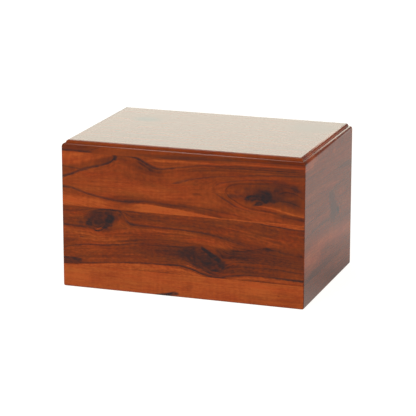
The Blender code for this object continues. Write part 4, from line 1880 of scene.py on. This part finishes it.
FIGURES = {
    "front_upper_board": FRONT_UPPER,
    "front_lower_board": FRONT_LOWER,
    "front_base_strip": Figure(
        seed=3.0, tone=0.88, contrast=0.65, drift=0.8,
        streaks=(
            Streak(SHADE, 9, 0.14, ((20, 125, 1, 0), (42, 125), (62, 124, 1, 0))),
            Streak(SCORCH, 1.4, 0.95, ((91, 136.9, 0.5, 0), (98, 136.2), (105, 134.8, 1.2),
                (110, 133.6, 1.2), (113.4, 133.4, 1, 0.8), (115.5, 134, 0.8, 0)), below=1.6, core=0.4),
        ),
        blotches=(
            *patches(GLOW, (12, 127, 26, 13, 0, 0.25), (195, 121, 24, 7, 0, 0.25)),
            *patches(SHADE, (222, 128, 20, 11, 0, 0.25), (124, 126, 7, 6, -50, 0.35),
                (212, 127, 1.8, 1.4, 0, 0.6)),
            *patches(SCORCH, (106, 137, 14, 2, 0, 0.9)),
        ),
    ),
    "right_upper_board": Figure(
        seed=4.0, tone=0.56, contrast=1.2, drift=1.5, fall=0.05, open_pores=0.15,
        streaks=(
            Streak(GLOW, 3, 0.8, ((0, 8), (15, 8), (30, 9, 1, 0))),
            Streak(SHADE, 4, 0.45, ((100, 26, 0.8, 0), (125, 30), (160, 36))),
            Streak(SHADE, 1.5, 0.3, ((0, 17, 0.8), (50, 19), (100, 23, 1, 0.6), (140, 27, 1, 0))),
            Streak(GLOW, 2.5, 0.5, ((0, 34, 0.8), (50, 36), (90, 40), (120, 44, 1, 0))),
        ),
        blotches=(
            *patches(GLOW, (95, 9, 9, 3.5, 0, 0.9), (125, 54, 18, 8, 10, 0.4)),
            *patches(SCORCH, (90, 53, 16, 9, 20, 0.6, 0.3)),
        ),
    ),
    "right_lower_board": Figure(
        seed=5.0, tone=0.57, contrast=1.2, drift=1.5, fall=0.05, open_pores=0.15,
        knots=(Knot((108, 71), (16, 9), push=7, rings=3, strength=0.5),),
        streaks=(
            Streak(SCORCH, 2.4, 0.45, ((0, 71, 0.7, 0.6), (30, 70), (60, 70.5), (84, 73, 1, 0.8),
                (100, 78, 1, 0.4), (125, 80, 1.6, 0.7), (160, 84, 1.6, 0.6))),
            Streak(GLOW, 8, 0.8, ((0, 91), (60, 89), (120, 94), (160, 98))),
            # Painted shade: this band darker at the board's foot stands for the box's shadow on the
            # floor, as the lacquer mirrors it low on this wall.
            Streak(SHADE, 6, 0.7, ((0, 116), (30, 115), (70, 114, 1, 0.7), (120, 114, 1, 0.5),
                (160, 116, 1, 0.6)), core=0.4),
        ),
        blotches=(
            *patches(GLOW, (24, 100, 44, 10, 0, 0.6)),
            *patches(SCORCH, (96, 67, 19, 16, 25, 0.7, 0.3), (111, 70.5, 8, 4.6, 35, 1.0, 0.4)),
        ),
    ),
    "right_base_strip": Figure(
        # Painted shade: a tone much darker than the other strips, standing for the box's shadow on the
        # floor as the lacquer mirrors it at this wall's foot.
        seed=6.0, tone=0.44, contrast=1.2, drift=1.2, fall=0.04, open_pores=0.15,
        streaks=(Streak(GLOW, 6, 0.5, ((90, 122, 1, 0), (130, 122), (160, 124))),),
    ),
    "back_upper_board": Figure(
        seed=11.0, tone=0.66, contrast=1.5, drift=3.0,
        streaks=(
            Streak(SCORCH, 2.2, 0.5, ((0, 22), (40, 27), (80, 36), (110, 38), (150, 33), (190, 26),
                (233, 23))),
            Streak(SCORCH, 1.6, 0.4, ((30, 14, 1, 0), (70, 18), (105, 27), (130, 26), (165, 17),
                (233, 12, 1, 0.4))),
            Streak(SHADE, 7, 0.6, ((0, 14), (60, 12), (130, 15, 1, 0.6), (233, 17))),
            Streak(GLOW, 4, 0.9, ((0, 50), (60, 53), (120, 54), (150, 55, 0.5, 0)), core=0.6),
            Streak(SHADE, 5, 0.7, ((90, 46, 0.6, 0), (130, 48), (180, 44), (233, 43))),
        ),
    ),
    "back_lower_board": Figure(
        seed=12.0, tone=0.56, contrast=1.5, drift=2.5,
        knots=(Knot((150, 86), (15, 8), push=7, rings=3, strength=0.5),),
        streaks=(
            Streak(SCORCH, 2.0, 0.55, ((0, 70), (60, 72), (105, 75), (130, 79), (150, 76), (180, 73),
                (233, 71))),
            Streak(SCORCH, 2.2, 0.5, ((0, 99), (70, 98), (120, 94), (145, 97), (175, 101), (233, 99))),
            Streak(GLOW, 5, 0.8, ((0, 84), (60, 85), (110, 86), (128, 86, 0.6, 0))),
            Streak(GLOW, 3, 0.9, ((60, 111, 0.5, 0), (120, 110), (180, 111), (233, 112)), core=0.6),
            Streak(SHADE, 7, 0.7, ((170, 88, 0.6, 0), (195, 87), (233, 86))),
        ),
        blotches=(
            *patches(SHADE, (148, 86, 24, 11, 0, 0.7)),
            *patches(SCORCH, (149, 86, 17, 9, -8, 0.6, 0.3), (156, 84, 6, 5, -30, 0.95, 0.4),
                (143, 88, 6, 4, 10, 0.9, 0.3)),
        ),
    ),
    "back_base_strip": Figure(
        seed=13.0, tone=0.84, contrast=0.9, drift=1.5,
        streaks=(Streak(SHADE, 3, 0.4, ((60, 122, 1, 0), (110, 123), (170, 124, 1, 0))),),
    ),
    "left_upper_board": Figure(
        seed=14.0, tone=0.6, contrast=1.5, drift=3.0,
        knots=(Knot((52, 30), (13, 7), push=6, rings=3, strength=0.5),),
        streaks=(
            Streak(SCORCH, 2.0, 0.5, ((0, 19), (28, 20), (46, 17), (66, 20), (100, 24), (160, 22))),
            Streak(SCORCH, 1.8, 0.45, ((0, 38), (30, 39), (52, 43), (76, 39), (160, 40))),
            Streak(GLOW, 3.5, 0.8, ((0, 52), (70, 54), (130, 55, 0.5, 0)), core=0.5),
        ),
        blotches=(
            *patches(SCORCH, (51, 30, 15, 8, 8, 0.6, 0.3), (55, 31.5, 5.5, 4.6, 30, 0.95, 0.3)),
        ),
    ),
    "left_lower_board": Figure(
        seed=15.0, tone=0.64, contrast=1.5, drift=2.5,
        streaks=(
            Streak(SCORCH, 2.2, 0.45, ((0, 76), (50, 73), (90, 67), (120, 68), (160, 74))),
            Streak(SHADE, 5, 0.7, ((0, 94), (60, 95), (110, 99), (160, 97))),
            Streak(GLOW, 4, 0.7, ((0, 108), (80, 107), (160, 109)), core=0.4),
        ),
    ),
    "left_base_strip": Figure(seed=16.0, tone=0.72, contrast=0.9, drift=1.5),
}

BASE_FIGURE = Figure(seed=21.0, tone=0.62, contrast=1.0, drift=3.0)


@dataclass
class UrnBox:
    """The whole box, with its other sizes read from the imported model.

    Attributes:
        wood: The finish of the boards.
        brass: The finish of the screws.
        ledge_drop: From the upper face down to the moulding's ledge.
        figure_drop: From the upper face down to where the walls' figures start.
        rim: Thickness of the walls outside the rebate.
    """

    wood: LacqueredWood
    brass: BrushedBrass
    ledge_drop: float = 0.0028
    figure_drop: float = 0.00355
    rim: float = 0.0045

    def build(self) -> None:
        """Builds and dresses every piece."""
        low, high = CAD_BOX
        width, depth, top = high.x - low.x, high.y - low.y, high.z
        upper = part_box("front_upper_board")
        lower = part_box("front_lower_board")
        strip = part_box("front_base_strip")
        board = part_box("top_board")
        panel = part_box("base_panel")
        screws = [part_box(f"base_screw_{number}") for number in range(1, 5)]
        seam_gap = board[0].z - upper[1].z
        walls = Walls(
            width=width,
            depth=depth,
            start=top - self.figure_drop,
            top=upper[1].z + seam_gap / 2,
            seams=((strip[1].z + lower[0].z) / 2, (lower[1].z + upper[0].z) / 2),
            thickness=upper[1].y - upper[0].y,
            rim=self.rim,
            shoulder=panel[1].z + seam_gap,
        )
        walls.build(self.wood, FIGURES)
        TopBoard(
            width=width,
            depth=depth,
            underside=walls.top,
            ledge=top - self.ledge_drop,
            top=top,
        ).build(self.wood, TOP_FIGURE)
        self.dress_base(panel, width, depth)
        middles = [(low + high) / 2 for low, high in screws]
        xs = [middle.x for middle in middles]
        ys = [middle.y for middle in middles]
        first_low, first_high = screws[0]
        Screws(
            spread=(max(xs) - min(xs), max(ys) - min(ys)),
            level=first_low.z,
            length=first_high.z - first_low.z,
            head_radius=(first_high.x - first_low.x) / 2,
        ).build(self.brass)

    def dress_base(self, panel: tuple[Vector, Vector], width: float, depth: float) -> None:
        """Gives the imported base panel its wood.

        Args:
            panel: Lowest and highest corner of the panel.
            width: Width of the box.
            depth: Depth of the box.
        """
        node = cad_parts["base_panel"]
        face = Face.of_board(width, depth, panel[0].z, False)
        material = self.wood.material("base_panel_wood", BASE_FIGURE, face)
        node.data.materials.clear()
        node.data.materials.append(material)
        LOG.info("base_panel: packed shape, dressed")


def main() -> None:
    """Builds the scene in order."""
    logging.basicConfig(level=logging.INFO, format="%(name)s: %(message)s")
    PhotoCamera().build()
    UrnBox(LacqueredWood(), BrushedBrass()).build()
    Studio().build()
    boxes = {"cad": CAD_BOX, "visual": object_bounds()}
    sizes = {name: [list(low), list(high)] for name, (low, high) in boxes.items()}


if __name__ == "__main__":
    main()
